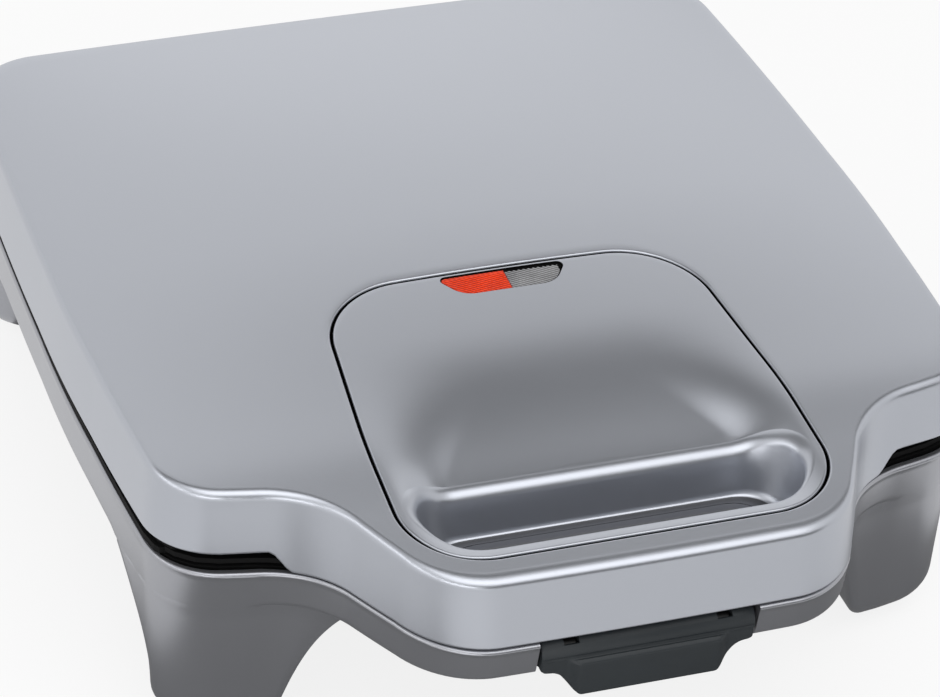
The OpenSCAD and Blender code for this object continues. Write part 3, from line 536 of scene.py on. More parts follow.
finishes = {
    "silver": silverPaint("silverPaint", silver["level"], silver["tint"]),
    # the base carries a darker copy of the lid's silver paint: painted shade
    "shadedBaseSilver": silverPaint("shadedBaseSilverPaint", silver["shadedBaseLevel"], silver["baseTint"]),
    # a dark copy of the silver paint: the tray's dark grey, and painted shade on the shelf round the tray
    "darkTrayAndShelfShade": silverPaint("darkTrayAndShelfShadePaint", silver["trayAndShelfShadeLevel"], silver["baseTint"]),
    "black_plastic": matteBlack("blackPlastic", 0.007, 0.75, 0.1),
    "darkSteel": plainSteel("darkSteel", 0.05, 0.5),
    "grooveShade": matteBlack("grooveShade", 0.004, 0.9, 0.05),
    "non_stick": nonStickCoat(),
    "heater_steel": heaterSteel(),
    "sheet": plainSteel("rolledSheet", 0.62, 0.34, (1, 12, 1)),
    "screw_steel": plainSteel("zincSteel", 0.5, 0.3, (10, 1, 1), (1, 1, 0.98)),
    "rubber": softRubber(),
    "ceramic": paleMoulding("ceramicBody", 0.74, (1, 0.97, 0.9), 0.45),
    "white_plastic": paleMoulding("whiteNylon", 0.8, (1, 1, 0.98), 0.4),
    "red_plastic": lensPlastic("redLensPlastic", (0.88, 0.055, 0.008, 1), (0.2, 0.005, 0.002, 1), 0.12),
    "clear_plastic": lensPlastic("clearLensPlastic", (0.36, 0.36, 0.37, 1), (0.03, 0.03, 0.032, 1), 0.0),
    "lamp_glass": lampGlass(),
    "slate_plastic": slatePlastic(),
}
print("finishes made:", len(finishes))


replaced = set()


def addFinishes(piece, *finishNames):
    for name in finishNames:
        piece.data.materials.append(finishes[name])


def dress(piece, slotName, bodyName, node, finishName=None):
    # gives a piece its finish, its body and the CAD node that it stands for
    if not piece.data.materials:
        addFinishes(piece, finishName or slotName)
    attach(piece, bodyName)
    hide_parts(node)
    replaced.add(node)


def paintBands(piece, n, bands):
    # gives some of a loft's bands of n faces another of the piece's finishes
    for face in piece.data.polygons:
        face.material_index = bands.get(face.index // n, 0)


def paintFaces(piece, place, chosen):
    # gives another finish to the faces that are chosen by their middle, in millimetres, and their normal
    for face in piece.data.polygons:
        if chosen(face.center[0] / mm, face.center[1] / mm - body["frontLine"], face.normal):
            face.material_index = place


lid = {
    "spacing": 2.0, "domeRings": 46, "edgeRings": 10, "centre": (0, 68), "tuck": 2.4, "lowRound": 0.7,
    "besideRound": (0.02, 0.25), "slopeProbe": 0.5, "grooveDepth": 5.0, "overlap": 2.5, "innerStand": 0.2,
    "innerDrop": 5,
}
inlay = {
    "half": 67.6, "front": 6, "back": 131, "sideIn": 1.6, "sideAt": 60, "backIn": 9.1,
    "frontRadius": 24, "sideRadius": 300, "backRadius": 27, "groove": 0.9, "edge": 0.7, "skirt": 5,
    "skin": 2.2, "spacing": 1.2, "castSpacing": 0.8, "rings": 64, "centre": (0, 27),
}
inlayCorners = [
    [0, inlay["front"], 0], [inlay["half"], inlay["front"], inlay["frontRadius"]],
    [inlay["half"] - inlay["sideIn"], inlay["sideAt"], inlay["sideRadius"]],
    [inlay["half"] - inlay["backIn"], inlay["back"], inlay["backRadius"]], [0, inlay["back"], 0],
]


def onTop(points, drop=0.0):
    return np.column_stack([points[:, 0], points[:, 1], topHeight(points[:, 0], points[:, 1]) - drop])


def lidShell():
    path = bodyPath(lid["spacing"])
    top = topHeight(path[:, 0], path[:, 1])
    low = lidLowEdge(path[:, 0], path[:, 1])
    flare, r, bevel = body["flare"], body["edgeRadius"], lid["lowRound"]
    rings = [wallRing(path, flare - lid["tuck"], low)]
    rings += [wallRing(path, flare - bevel * (1 - math.sin(a)), low + bevel * (1 - math.cos(a)))
              for a in np.linspace(0, quarter, 5)]
    # a ring close beside the rounding keeps its shading off the tall wall
    out, up = lid["besideRound"]
    rings.append(wallRing(path, flare - out, low + bevel + up))
    for t in (0.25, 0.5, 0.75):
        rings.append(wallRing(path, mix(flare, r, t), mix(low + bevel, top - r, t)))
    # the edge's arc ends at the slope that the dome starts with
    probe = lid["slopeProbe"]
    inward = onTop(path[:, :2] - path[:, 2:] * probe)[:, 2]
    slope = np.arctan2(np.maximum(inward - top, 0), probe)
    for k in range(lid["edgeRings"]):
        a = k / (lid["edgeRings"] - 1) * (quarter - slope)
        rings.append(wallRing(path, r * np.cos(a), top - r * (1 - np.sin(a))))
    hole = castOnto(closedPath(inlayCorners, inlay["castSpacing"]), path, lid["centre"])
    rim = inlay["groove"] + inlay["edge"]
    target = hole[:, :2] + hole[:, 2:] * rim
    for k in range(1, lid["domeRings"]):
        rings.append(onTop(mix(path[:, :2], target, k / lid["domeRings"])))
    for a in np.linspace(0, quarter, 5):
        out = rim - inlay["edge"] * math.sin(a)
        rings.append(onTop(hole[:, :2] + hole[:, 2:] * out, inlay["edge"] * (1 - math.cos(a))))
    groove = len(rings) - 1
    edge = hole[:, :2] + hole[:, 2:] * inlay["groove"]
    under = edge + hole[:, 2:] * lid["overlap"]
    rings += [onTop(edge, lid["grooveDepth"]), onTop(under, lid["grooveDepth"]), onTop(under, body["wall"])]
    inner = wallRing(path, 0.0, 0)[:, :2]
    for t in (0.3, 0.6, 0.97):
        rings.append(onTop(mix(under, inner, t), body["wall"]))
    rings.append(wallRing(path, lid["innerStand"], top - lid["innerDrop"]))
    piece = loft("lidShell", rings)
    addFinishes(piece, "silver", "grooveShade")
    paintBands(piece, len(path), {groove: 1, groove + 1: 1, groove + 2: 1})
    dress(piece, "silver", "lid", "lid_shell")


recess = {
    "floor": 71, "centre": (0, 24),  # then half width, front, back, front radius and back radius
    "mouth": (60, 11, 41.5, 18, 13), "wallFoot": (55, 11, 38.8, 14, 12), "trayEdge": (51, 11, 36, 12, 11),
    "lipFront": 1.6, "lipBack": 4.8, "lipFrom": 16, "lipRun": 18, "lipRings": 13,
    "shelf": 0.6, "trayRim": 0.4, "trayFoot": 0.1,
    "underLip": 2.0, "underMost": 3.5, "underDrop": 1.5, "underSkin": 0.8,
}
scoop = {
    "depth": 8.8, "back": 108, "length": 72, "front": 4, "frontRun": 30,
    "softHalf": 46, "tightHalf": 24, "edgeHalf": 65, "tightAt": 40, "softRun": 44,
}
window = {"clear": 0.45, "bottom": 92, "top": 110, "spacing": 0.6, "nearSide": 2.5, "nearFront": 1.5}
lensCorners = [
    [0, lens["front"], 0], [lens["half"] - lens["frontIn"], lens["front"], lens["frontRadius"]],
    [lens["half"] + lens["backOut"], inlay["back"] - lens["inBack"] - lens["backDip"], lens["backRadius"]],
    [0, inlay["back"] - lens["inBack"], 0],
]


def skinHeight(x, y):
    # the top surface with the scoop behind the recess; its sides are soft at the back and tight at the crest
    t = np.clip((scoop["back"] - y) / scoop["length"], 0, 1)
    inner = mix(scoop["softHalf"], scoop["tightHalf"], smooth((y - scoop["tightAt"]) / scoop["softRun"]))
    across = 1 - smooth((np.abs(x) - inner) / (scoop["edgeHalf"] - inner))
    depth = scoop["depth"] * t ** 3 * (4 - 3 * t) * across
    return topHeight(x, y) - depth * smooth((y - scoop["front"]) / scoop["frontRun"])


def onSkin(points, drop=0.0):
    return np.column_stack([points[:, 0], points[:, 1], skinHeight(points[:, 0], points[:, 1]) - drop])


def recessEdge(name, path, centre):
    return castOnto(boxPath(*recess[name], inlay["castSpacing"]), path, centre)


def atRecess(points, height):
    return np.column_stack([points, np.full(len(points), recess["floor"] + height)])


def handleInlay():
    path = closedPath(inlayCorners, inlay["spacing"])
    r, e, skin = recess, inlay["edge"], inlay["skin"]
    mouth = recessEdge("mouth", path, inlay["centre"])
    foot = recessEdge("wallFoot", mouth, r["centre"])
    tray = recessEdge("trayEdge", mouth, r["centre"])
    # the lip is broad along the back and tight along the front
    lip = mix(r["lipFront"], r["lipBack"], smooth((mouth[:, 1] - r["lipFrom"]) / r["lipRun"]))
    start = onSkin(mouth[:, :2] + mouth[:, 2:] * lip[:, None])
    rings = [onTop(path[:, :2], inlay["skirt"])]
    for a in np.linspace(0, quarter, 5):
        rings.append(onSkin(path[:, :2] - path[:, 2:] * e * (1 - math.cos(a)), e * (1 - math.sin(a))))
    first = path[:, :2] - path[:, 2:] * e
    for k in range(1, inlay["rings"]):
        rings.append(onSkin(mix(first, start[:, :2], k / inlay["rings"])))
    run = np.linalg.norm(mouth[:, :2] - foot[:, :2], axis=1)
    tilt = np.arctan2(run, start[:, 2] - r["floor"])
    for k in range(r["lipRings"]):
        a = k / (r["lipRings"] - 1) * (quarter - tilt)
        out = lip * (1 - np.sin(a))
        p = mouth[:, :2] + mouth[:, 2:] * out[:, None]
        rings.append(np.column_stack([p, start[:, 2] - lip * (1 - np.cos(a))]))
    last = rings[-1]
    for t in (0.3, 0.6, 0.85, 0.96):
        rings.append(mix(last, atRecess(foot[:, :2], r["shelf"]), t))
    rings.append(atRecess(mix(foot[:, :2], tray[:, :2], 0.15), r["shelf"]))
    shelf = len(rings) - 1
    rings += [atRecess(tray[:, :2], r["trayRim"]), atRecess(tray[:, :2], r["trayFoot"])]
    # back along the underside
    rings.append(atRecess(foot[:, :2] + foot[:, 2:] * skin, r["trayFoot"]))
    outer = mouth[:, :2] + mouth[:, 2:] * np.minimum(lip + r["underLip"], r["underMost"])[:, None]
    rings.append(np.column_stack([outer, start[:, 2] - lip - skin - r["underDrop"]]))
    for t in (0.1, 0.4, 0.7, 0.97):
        rings.append(onSkin(mix(outer, first, t), skin + r["underSkin"]))
    piece = loft("handleInlay", rings)
    addFinishes(piece, "silver", "grooveShade", "darkTrayAndShelfShade")
    # the shelf and its step down to the tray get the dark tray finish: painted shade
    paintBands(piece, len(path), {0: 1, len(rings) - 1: 1, shelf: 2, shelf + 1: 2})

    # the lens's window, with dark walls
    edge = closedPath(lensCorners, window["spacing"])
    hole = [np.column_stack([edge[:, :2] + edge[:, 2:] * window["clear"], np.full(len(edge), z)])
            for z in (window["bottom"], window["top"])]
    combine(piece, loft("windowTool", hole, "cap"), "DIFFERENCE")
    paintFaces(piece, 1, lambda x, y, normal: abs(x) < lens["half"] + window["nearSide"]
               and y > lens["front"] - window["nearFront"] and abs(normal[2]) < 0.5)
    dress(piece, "silver", "lid", "handle_inlay")


def lensPiece(name, slotName, node, side):
    # a grid between the lens's front and back edges, with slanted ribs on its face
    outline = closedPath(lensCorners, lens["spacing"])
    columns, rows = lens["columns"], lens["rows"]
    half = float(outline[:, 0].max()) - lens["inset"]
    ends = (-half, lens["split"] - lens["gap"]) if side < 0 else (lens["split"] + lens["gap"], half)
    xs = np.linspace(*ends, columns)
    right = outline[outline[:, 0] > -0.001]
    widest = right[np.argmax(right[:, 0]), 1]
    edges = []
    for part in (right[right[:, 1] <= widest], right[right[:, 1] >= widest]):
        part = part[np.argsort(part[:, 0])]
        edges.append(np.interp(np.abs(xs), part[:, 0], part[:, 1]))
    frameY = inlay["back"] - lens["inBack"] - lens["frame"]
    points = []
    for layer in (0, 1):
        for j in range(rows):
            for i, x in enumerate(xs):
                y = mix(edges[0][i], edges[1][i], j / (rows - 1))
                z = float(skinHeight(x, y)) - lens["sunk"]
                ribbed = min(j, rows - 1 - j, i, columns - 1 - i) > 0 and y < frameY
                phase = ((x * lens["ribSlant"] + y) / lens["ribPitch"]) % 1
                z += lens["ribHeight"] * (1 - abs(phase - 0.5) * 2) if ribbed else -lens["rimDrop"]
                points.append([x, y, z - lens["thick"] * layer])
    piece = addMesh(name, points, twoSidedFaces(columns, rows), lens["sharp"])
    addFinishes(piece, slotName, "grooveShade")
    if side > 0:
        paintFaces(piece, 1, lambda x, y, normal: y > frameY or x > half - lens["frame"])
    dress(piece, slotName, "lid", node)


base = {
    "spacing": 2.0, "centre": (0, 180), "mirrorSum": 350, "tuck": 2.4, "rimRound": 1.2, "bandRound": 2.2,
    "bandIn": 2.0, "underBand": 0.3, "underDrop": 0.2, "bellyLow": 37, "bellyFront": 60.5, "bellyIn": 1.3,
    "bellyRadius": 22, "bellyEdge": (14, 11), "insideTurn": (5, 8), "insideIn": 3.4, "insideStand": 0.2,
    "insideTop": 2.6, "wall": 2.5, "cover": (69, 87.5, 270.5, 6, 6), "pathSpacing": 3,
    "flushNose": (106, 22), "flushSide": (96, 9), "flushBack": (88, 9), "noseEnds": 61.5, "backStarts": 290,
}


def flushness(path):
    # 1 where the band's lower edge turns in, 0 where a foot runs on from it
    x, y = np.abs(path[:, 0]), path[:, 1]
    noseAt, noseRun = base["flushNose"]
    sideAt, sideRun = base["flushSide"]
    backAt, backRun = base["flushBack"]
    side = smooth((y - sideAt) / sideRun) * smooth((base["mirrorSum"] - sideAt - y) / sideRun)
    turn = np.where(y < base["noseEnds"], smooth((noseAt - x) / noseRun), side)
    return np.where(y > base["backStarts"], smooth((backAt - x) / backRun), turn)


def bellyRing(path, inset, z):
    front, back = base["bellyFront"] + inset, body["depth"] - base["bellyIn"] - inset
    half, radius = sideX - base["bellyIn"] - inset, base["bellyRadius"]
    p = castOnto(boxPath(half, front, back, radius, radius, base["pathSpacing"]), path, base["centre"])
    return np.column_stack([p[:, :2], np.broadcast_to(z, len(p))])


def insideRings(path, away):
    # the base's inside from its floor up, or outlines this far away from it
    low = bandLowEdge(path[:, 1])
    edgeIn, floor = base["bellyEdge"][0], base["bellyLow"]
    turnIn, turnUp = base["insideTurn"]
    return [bellyRing(path, edgeIn + away, floor + base["wall"] + away),
            bellyRing(path, turnIn + away, floor + turnUp + away),
            bellyRing(path, base["insideIn"] + away, low + base["wall"] + away),
            wallRing(path, base["insideStand"] - 2 * away, low + base["insideTop"] + 2 * away)]


def baseSkin():
    path = bodyPath(base["spacing"])
    rim, flare, top = body["rimHeight"], body["flare"], base["rimRound"]
    low = bandLowEdge(path[:, 1])
    turn = flushness(path)
    rings = [wallRing(path, flare - base["tuck"], rim)]
    rings += [wallRing(path, flare - top * (1 - math.sin(a)), rim - top * (1 - math.cos(a)))
              for a in np.linspace(0, quarter, 7)]
    for t in (0.03, 0.2, 0.4, 0.6, 0.8, 0.97):
        z = mix(rim - top, low + base["bandRound"], t)
        rings.append(wallRing(path, draft(z), z))
    for a in np.linspace(0, quarter, 7):
        z = low + base["bandRound"] * (1 - math.sin(a))
        rings.append(wallRing(path, draft(z) - turn * base["bandIn"] * (1 - math.cos(a)), z))
    rings += [wallRing(path, -base["underBand"], low), bellyRing(path, 0, low - base["underDrop"])]
    floor = base["bellyLow"]
    edgeIn, edgeUp = base["bellyEdge"]
    for a in np.linspace(0, quarter, 10):
        rings.append(bellyRing(path, edgeIn * (1 - math.cos(a)), floor + edgeUp * (1 - math.sin(a))))
    opening = castOnto(boxPath(*base["cover"], base["pathSpacing"]), path, base["centre"])[:, :2]
    for z in (floor, floor + base["wall"]):
        rings.append(np.column_stack([opening, np.full(len(opening), z)]))
    return loft("baseSkin", rings + insideRings(path, 0))


feet = {
    "sole": 2, "top": 57, "height": 58, "round": 11, "levels": 1.4, "count": 128, "pathSpacing": 0.6,
    "fromX": 60, "frontHalf": 170, "rearHalf": 180, "low": (109, 69), "high": (104, 74), "reach": 90.0,
    "innerX": 96.7, "innerLean": 0.25, "innerSpread": 4.7, "innerRound": 3,
    "back": 79.5, "backSpread": 29, "backPower": 3.2, "backRound": (17, 4), "backRoundAt": (20, 34),
    "arch": 54, "curlIn": 5, "cornerCurl": 0.3, "tuck": (0.03, 1.5), "tuckAt": (0.1, 3), "sharp": 50,
}
catch = {"half": 34.4, "front": 3, "wall": 2.5, "bottom": 51.5, "top": 64.1, "cutFront": -20, "cutBottom": 40,
         "cutTop": 80}
cableHole = {"x": 30, "height": 56.9, "radius": 4.4, "behind": 2, "length": 20}


def roundedMax(a, b, r):
    # the overlap of two half spaces with its edge rounded
    corner = np.hypot(np.maximum(r + a, 0), np.maximum(r + b, 0))
    return np.minimum(-r, np.maximum(a, b)) + corner


def footDistance(points, z, near, rear):
    # below 0 inside a right foot at this height, above 0 outside it
    f = feet
    curl = 1 - math.sqrt(max(0, 1 - max(0, (f["sole"] + f["round"] - z) / f["round"]) ** 2))
    gap = points[:, None, :] - near[None, :, :2]
    j = np.argmin((gap ** 2).sum(2), 1)
    k = np.arange(len(points))
    nx, ny = near[j, 2], near[j, 3]
    outside = gap[k, j, 0] * nx + gap[k, j, 1] * ny
    y = base["mirrorSum"] - points[:, 1] if rear else points[:, 1]
    noseAt, noseRun = base["flushNose"]
    crease = base["bandIn"] * smooth((noseAt - points[:, 0]) / noseRun)
    crease = 0 if rear else np.where(y > base["noseEnds"], 0, crease)
    above = smooth((z - bandLowEdge(points[:, 1]) - f["tuckAt"][0]) / f["tuckAt"][1])
    tuck = f["tuck"][0] + f["tuck"][1] * above
    stand = (draft(np.array(z)) - crease) * flareShare(nx)
    wall = outside - (stand - tuck - f["round"] * curl * (1 + f["cornerCurl"] * nx ** 2))
    innerX = f["innerX"] - f["innerLean"] * z - f["innerSpread"] * (z / f["arch"]) ** 3 + f["curlIn"] * curl
    back = f["back"] + f["backSpread"] * (z / f["arch"]) ** f["backPower"] - f["curlIn"] * curl
    backRound = mix(*f["backRound"], smooth((z - f["backRoundAt"][0]) / f["backRoundAt"][1]))
    return roundedMax(roundedMax(wall, innerX - points[:, 0], f["innerRound"]), y - back, backRound)


def footRings(rear):
    # outlines of a right foot from its sole up into the belly, found by halving
    f = feet
    path = bodyPath(f["pathSpacing"])
    half = (path[:, 1] > f["rearHalf"]) if rear else (path[:, 1] < f["frontHalf"])
    near = path[(path[:, 0] > f["fromX"]) & half]
    angles = np.linspace(0, 2 * np.pi, f["count"], endpoint=False)
    ways = np.column_stack([np.cos(angles), np.sin(angles)])
    levels = [f["sole"] + f["round"] * (1 - math.cos(a)) for a in np.linspace(0, quarter, 12)]
    levels += list(np.arange(levels[-1] + f["levels"], f["top"], f["levels"]))
    rings = []
    for z in levels:
        t = (z - f["sole"]) / f["height"]
        centre = mix(np.array(f["low"], float), np.array(f["high"], float), t)
        if rear:
            centre[1] = base["mirrorSum"] - centre[1]
        inside, outside = np.zeros(f["count"]), np.full(f["count"], f["reach"])
        for _ in range(24):
            middle = (inside + outside) / 2
            distance = footDistance(centre + ways * middle[:, None], z, near, rear)
            outside = np.where(distance > 0, middle, outside)
            inside = np.where(distance > 0, inside, middle)
        rings.append(np.column_stack([centre + ways * inside[:, None], np.full(f["count"], z)]))
    return rings


def baseShell():
    skin = baseSkin()
    parts = []
    for rear in (False, True):
        rings = footRings(rear)
        for side in (-1, 1):
            flipped = [ring * np.array([side, 1, 1]) for ring in rings]
            parts.append(loft("foot", flipped, "cap", feet["sharp"]))
    c = catch
    cut = slab("latchCut", (-c["half"], c["cutFront"], c["cutBottom"]), (c["half"], c["front"], c["cutTop"]))
    combine(skin, cut, "DIFFERENCE")
    end, back = c["half"] + c["wall"], c["front"] + c["wall"]
    combine(skin, slab("catchWall", (-end, c["front"], c["bottom"]), (end, back, c["top"])), "UNION")
    h = cableHole
    hole = rod("cableHole", (h["x"], body["depth"] + h["behind"], h["height"]), h["radius"], h["length"], "Y")
    combine(skin, hole, "DIFFERENCE")
    for part in parts:
        combine(skin, part, "UNION")
    # the feet are cleared out of the space inside
    path = bodyPath(base["spacing"])
    cavity = insideRings(path, 0.1) + [wallRing(path, 0.0, feet["top"] + 2)]
    combine(skin, loft("cavity", cavity, "cap"), "DIFFERENCE")
    skin.name = "baseShell"
    # the base's darker silver is painted shade
    dress(skin, "silver", "base", "base_shell", "shadedBaseSilver")


plate = {
    "width": 234, "front": 73.75, "back": 283.75, "radius": 12.0, "border": 16, "meet": 69.1, "gap": 0.2,
    "deep": 9, "web": 3, "rib": 7, "tip": 0.75, "slant": 2.4, "wallRun": 5.5, "underShare": 0.94,
    "rimFall": 0.5, "step": 1.3, "sharp": 50,
}


def pocketDepth(x, y):
    # two triangular pockets in each of four slices, with rounded corners and sloping walls
    p = plate
    w, d = (p["width"] - p["border"]) / 2, (p["back"] - p["front"] - p["border"]) / 2
    u = np.abs(x) - w / 2
    v = np.abs(y - (p["front"] + p["back"]) / 2) - d / 2
    cut = 2 * p["rib"] * p["tip"]
    lx, ly = w - p["rib"] - cut, d - p["rib"] - cut
    depth = np.zeros_like(u)
    for turn in (1, -1):
        a = turn * u + w / 2 - p["rib"] / 2
        b = turn * v + d / 2 - p["rib"] / 2
        slant = (lx * ly - a * ly - b * lx) / math.hypot(lx, ly) + p["slant"]
        inside = -np.logaddexp(np.logaddexp(-a, -b), -slant)
        depth = np.maximum(depth, p["deep"] * smooth(inside / p["wallRun"]))
    return depth


def cookingPlate(name, node, bodyName, sign):
    # sign is 1 for the upper plate, whose pockets go up, and -1 for the lower one
    p = plate
    xs = np.linspace(-p["width"] / 2, p["width"] / 2, int(p["width"] / p["step"]))
    ys = np.linspace(p["front"], p["back"], int((p["back"] - p["front"]) / p["step"]))
    gx, gy = np.meshgrid(xs, ys)
    middle = (p["front"] + p["back"]) / 2
    innerX, innerY = p["width"] / 2 - p["radius"], (p["back"] - p["front"]) / 2 - p["radius"]
    # the grid's corners are squeezed onto the plate's rounded corners
    ex = np.maximum(np.abs(gx) - innerX, 0)
    ey = np.maximum(np.abs(gy - middle) - innerY, 0)
    far = np.maximum(np.hypot(ex, ey), 1e-6)
    shrink = np.where((ex > 0) & (ey > 0), np.maximum(ex, ey) / far, 1)
    px = np.sign(gx) * (np.minimum(np.abs(gx), innerX) + ex * shrink)
    py = middle + np.sign(gy - middle) * (np.minimum(np.abs(gy - middle), innerY) + ey * shrink)
    depth = pocketDepth(px, py)
    fall = np.zeros_like(depth)
    fall[0, :] = fall[-1, :] = fall[:, 0] = fall[:, -1] = p["rimFall"]
    face = p["meet"] + sign * p["gap"]
    points = [np.column_stack([px.ravel(), py.ravel(), face + sign * layer.ravel()])
              for layer in (depth + fall, depth * p["underShare"] + p["web"])]
    piece = addMesh(name, np.concatenate(points), twoSidedFaces(len(xs), len(ys)), p["sharp"])
    dress(piece, "non_stick", bodyName, node)


latch = {
    "half": 33.4, "barrelY": -2.7, "barrelZ": 60.2, "barrel": 5.3, "front": -7.8, "thick": 2.2,
    "low": 55, "lowRound": 1.2, "tabTop": 28.2, "shoulderRound": 6.5, "tabHalf": 21.4, "tabLow": 45.55,
    "tabRound": 7.5, "edgeRound": 0.8, "turn": (54, 55.6), "columns": 170, "sharp": 45,
    "proud": 2.15, "pullHalf": 25.6, "pullSide": 4.2, "pullTop": 60, "pullUp": 2.4, "pullDown": (0.7, 2.2),
    "grooveY": -8.5, "grooveZ": 59.6, "groove": 0.85, "grooveLength": 80, "pinHole": 1.55, "pinLength": 90,
    "ear": 24, "earHalf": 2.4, "earUp": 16, "earRoom": (-3.6, 8.4, -3.6), "earTop": (-9, 3, 3.3),
    "hookHalf": 12, "hook": ((-7, 51.5), (-7, 47.05), (0.4, 47.05), (2.5, 49.5), (2.5, 49.9)),
}


def latchOutline():
    # half of the clip's front as [height, half width]: wide, an S-shaped shoulder, a tab with round corners
    k = latch
    corners = [
        [k["half"], k["barrelZ"] + 2, 0], [k["half"], k["low"] + 0.1, k["lowRound"]],
        [k["tabTop"], k["low"] - 0.5, k["shoulderRound"]], [k["tabHalf"], k["tabLow"], k["tabRound"]],
        [0, k["tabLow"], 0],
    ]
    points = [corners[0][:2]]
    for before, corner, after in zip(corners, corners[1:], corners[2:]):
        points += [p[:2] for p in cornerArc(before[:2], corner[:2], after[:2], corner[2], 0.3)]
    points = np.array(points)[::-1]
    return points[:, 1], points[:, 0]


def latchClip():
    k = latch
    heights, halves = latchOutline()
    low, high = k["turn"]
    # rows are finer where the shoulders turn
    zs = np.concatenate([np.linspace(k["tabLow"] + 0.02, low - 0.2, 34), np.linspace(low, high, 20),
                         np.linspace(high + 0.3, k["barrelZ"], 14)])
    columns = k["columns"]
    front, back = [], []
    for z in zs:
        half = float(np.interp(z, heights, halves))
        x = np.linspace(-1, 1, columns) * half
        # the pull's face stands proud with soft edges
        beside = smooth((k["pullHalf"] - np.abs(x)) / k["pullSide"])
        above = smooth((k["pullTop"] - z) / k["pullUp"])
        raised = above * beside * smooth((z - k["tabLow"] + k["pullDown"][0]) / k["pullDown"][1])
        edge = np.clip(np.minimum(half - np.abs(x), z - k["tabLow"]) / k["edgeRound"], 0, 1)
        roundOff = k["edgeRound"] * (1 - np.sqrt(np.clip(1 - (1 - edge) ** 2, 0, 1)))
        y = k["front"] - k["proud"] * raised + roundOff
        front.append(np.column_stack([x, y, np.full(columns, z)]))
        back.append(np.column_stack([x, np.full(columns, k["front"] + k["thick"]), np.full(columns, z)]))
    piece = addMesh("latchClip", np.concatenate(front + back), twoSidedFaces(columns, len(zs)), k["sharp"])
    y, z = k["barrelY"], k["barrelZ"]
    combine(piece, rod("barrel", (0, y, z), k["barrel"], 2 * k["half"], "X", 96), "UNION")
    groove = rod("barGroove", (0, k["grooveY"], k["grooveZ"]), k["groove"], k["grooveLength"], "X", 32)
    combine(piece, groove, "DIFFERENCE")
    for side in (-1, 1):
        x0, x1 = side * k["ear"] - k["earHalf"], side * k["ear"] + k["earHalf"]
        for room in ("earRoom", "earTop"):
            front, back, bottom = k[room]
            tool = slab(room, (x0, y + front, z + bottom), (x1, y + back, z + k["earUp"]))
            combine(piece, tool, "DIFFERENCE")
    # the hook that snaps under the catch
    ends = [np.array([[x, *point] for point in k["hook"]]) for x in (-k["hookHalf"], k["hookHalf"])]
    combine(piece, loft("hook", ends, "cap"), "UNION", k["sharp"])
    pin = rod("pinHole", (0, y, z), k["pinHole"], k["pinLength"], "X", 32)
    combine(piece, pin, "DIFFERENCE", k["sharp"])
    dress(piece, "slate_plastic", "latch", "latch_clip")


lidShell()
handleInlay()
lensPiece("redLens", "red_plastic", "red_lens", -1)
lensPiece("clearLens", "clear_plastic", "clear_lens", 1)
print("lid made")
baseShell()
print("base made")
cookingPlate("lowerPlate", "lower_plate", "base", -1)
cookingPlate("upperPlate", "upper_plate", "lid", 1)
latchClip()
print("plates and latch made")

# the other pieces keep their CAD mesh and get a finish
special = {"latch_bracket": "darkSteel", "latch_pin": "darkSteel", "recess_tray": "darkTrayAndShelfShade"}
for part in frame["record"]["subparts"]:
    if part["node"] in replaced:
        continue
    node = frame["nodes"][part["node"]]
    node.data.materials.clear()
    addFinishes(node, special.get(part["node"], part["material_slot"]))
print("CAD nodes dressed")

stage = {
    "floorTone": 0.88, "floorSize": 5.0, "floorShine": 0.84, "ambient": 0.62,
    # grey boards that only reflections show: left, right, y and z of near and far edge, and brightness
    "cards": {
        "backCard": ((-1.8, 1.8, 0.1, 1.3), (-1.8, 1.8, 0.86, 1.3), 0.05),
        "frontCard": ((-2.2, 2.2, -1.7, 0.0), (-2.2, 2.2, -1.55, 1.0), 0.04),
        "shadowCard": ((-0.2, 0.15, -0.235, 0.0004), (-0.1, 0.19, 0.2, 0.0004), 0.2),
    },
    # place, aim, width and height in metres, and watts
    "lamps": {
        "topSoftbox": ((0.0, -0.7, 1.4), (0, 0, 0.08), (1.7, 1.1), 9),
        "backStrip": ((0.5, 2.0, 0.75), (0, 0, 0.08), (2.4, 0.7), 1.5),
        "frontStrip": ((-0.7, -1.5, 0.3), (0, -0.1, 0.06), (1.6, 0.4), 8),
        "leftStrip": ((-1.6, -0.2, 0.5), (0, 0, 0.06), (1.4, 0.4), 3),
    },
}


def board(name, corners, finish):
    mesh = bpy.data.meshes.new(name)
    mesh.from_pydata(corners, [], [(0, 1, 2, 3)])
    mesh.materials.append(finish.material)
    flat = addObject(name, mesh)
    return flat


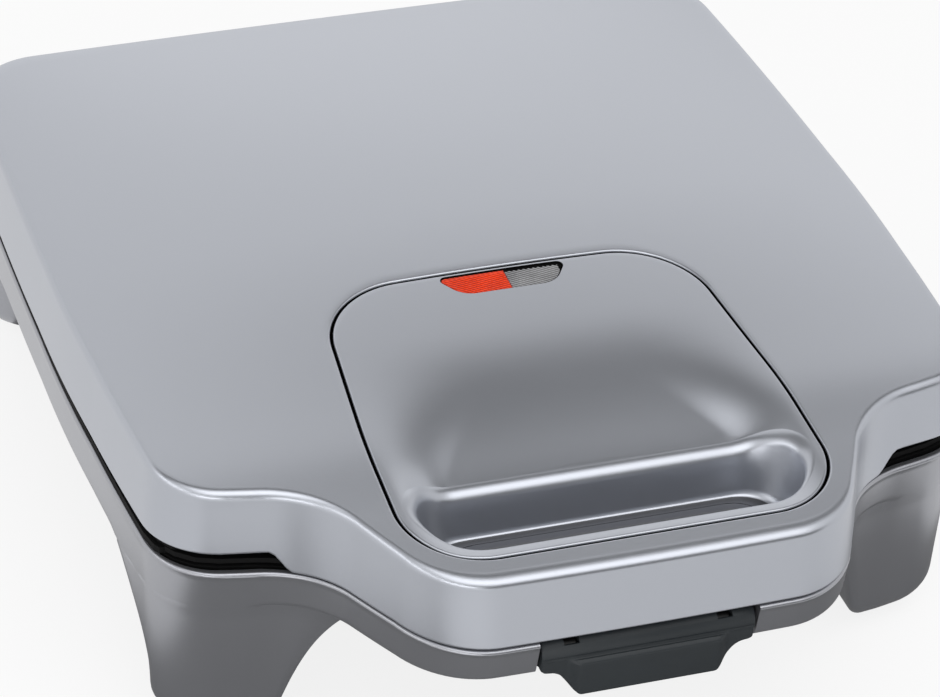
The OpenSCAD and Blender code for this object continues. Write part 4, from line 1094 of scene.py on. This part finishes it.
def studioFloor():
    finish = Finish("paleFloor", Specular_IOR_Level=0.1)
    paper = finish.noise(18, 3.0)
    dark, light = [tone(stage["floorTone"] * share) for share in (0.99, 1.01)]
    finish.paint(dark, light, paper)
    finish.feed("Roughness", 0.85 + paper * 0.1)
    # the floor looks white, and keeps part of its shadow
    white = finish.node("ShaderNodeEmission", {}, {"Color": (1, 1, 1, 1), "Strength": 1.0})
    share = finish.backgroundRays() * stage["floorShine"]
    shown = {0: share, 1: finish.signal(finish.shader), 2: finish.signal(white)}
    both = finish.node("ShaderNodeMixShader", {}, shown)
    finish.tree.links.new(both.outputs[0], finish.tree.nodes["Material Output"].inputs["Surface"])
    s = stage["floorSize"]
    board("studioFloor", [(-s, -s, 0), (s, -s, 0), (s, s, 0), (-s, s, 0)], finish)


def studioWorld():
    world = bpy.data.worlds.new("paleStudio")
    world.use_nodes = True
    sky = Shading(world.node_tree)
    background = sky.tree.nodes["Background"]
    background.inputs["Color"].default_value = (1, 1, 1, 1)
    strength = stage["ambient"] + sky.backgroundRays() * (1 - stage["ambient"])
    sky.tree.links.new(strength.socket, background.inputs["Strength"])
    bpy.context.scene.world = world


def darkCard(name, near, far, brightness):
    finish = Finish(name, Specular_IOR_Level=0.0, Emission_Color=tone(1.0), Emission_Strength=brightness)
    finish.paint(tone(0.0), tone(0.01), finish.noise(30, 2.0))
    corners = [(near[0], *near[2:]), (near[1], *near[2:]), (far[1], *far[2:]), (far[0], *far[2:])]
    card = board(name, corners, finish)
    card.visible_camera = False
    card.visible_diffuse = False
    card.visible_shadow = False


def softLamp(name, place, aim, size, watts):
    light = bpy.data.lights.new(name, "AREA")
    light.shape = "RECTANGLE"
    light.size, light.size_y = size
    light.energy = watts
    lamp = addObject(name, light)
    lamp.location = place
    lamp.rotation_euler = (Vector(place) - Vector(aim)).to_track_quat("Z", "Y").to_euler()


studioFloor()
studioWorld()
for name, settings in stage["cards"].items():
    darkCard(name, *settings)
for name, settings in stage["lamps"].items():
    softLamp(name, *settings)

# the camera stands at the photograph's angle
view = {
    "place": (-0.44025, -1.11485, 0.87802), "lens": 174.40, "sensor": 36, "right": (0.942, -0.33066, 0.05754),
    "up": (0.14282, 0.55005, 0.82283), "back": (-0.30372, -0.76689, 0.56537),
}
lensData = bpy.data.cameras.new("photoCamera")
lensData.lens = view["lens"]
lensData.sensor_width = view["sensor"]
camera = addObject("photoCamera", lensData)
turned = Matrix([view["right"], view["up"], view["back"]]).transposed().to_4x4()
turned.translation = view["place"]
camera.matrix_world = turned
bpy.context.scene.camera = camera
bpy.context.scene.view_settings.view_transform = "Standard"
print("stage and camera set")
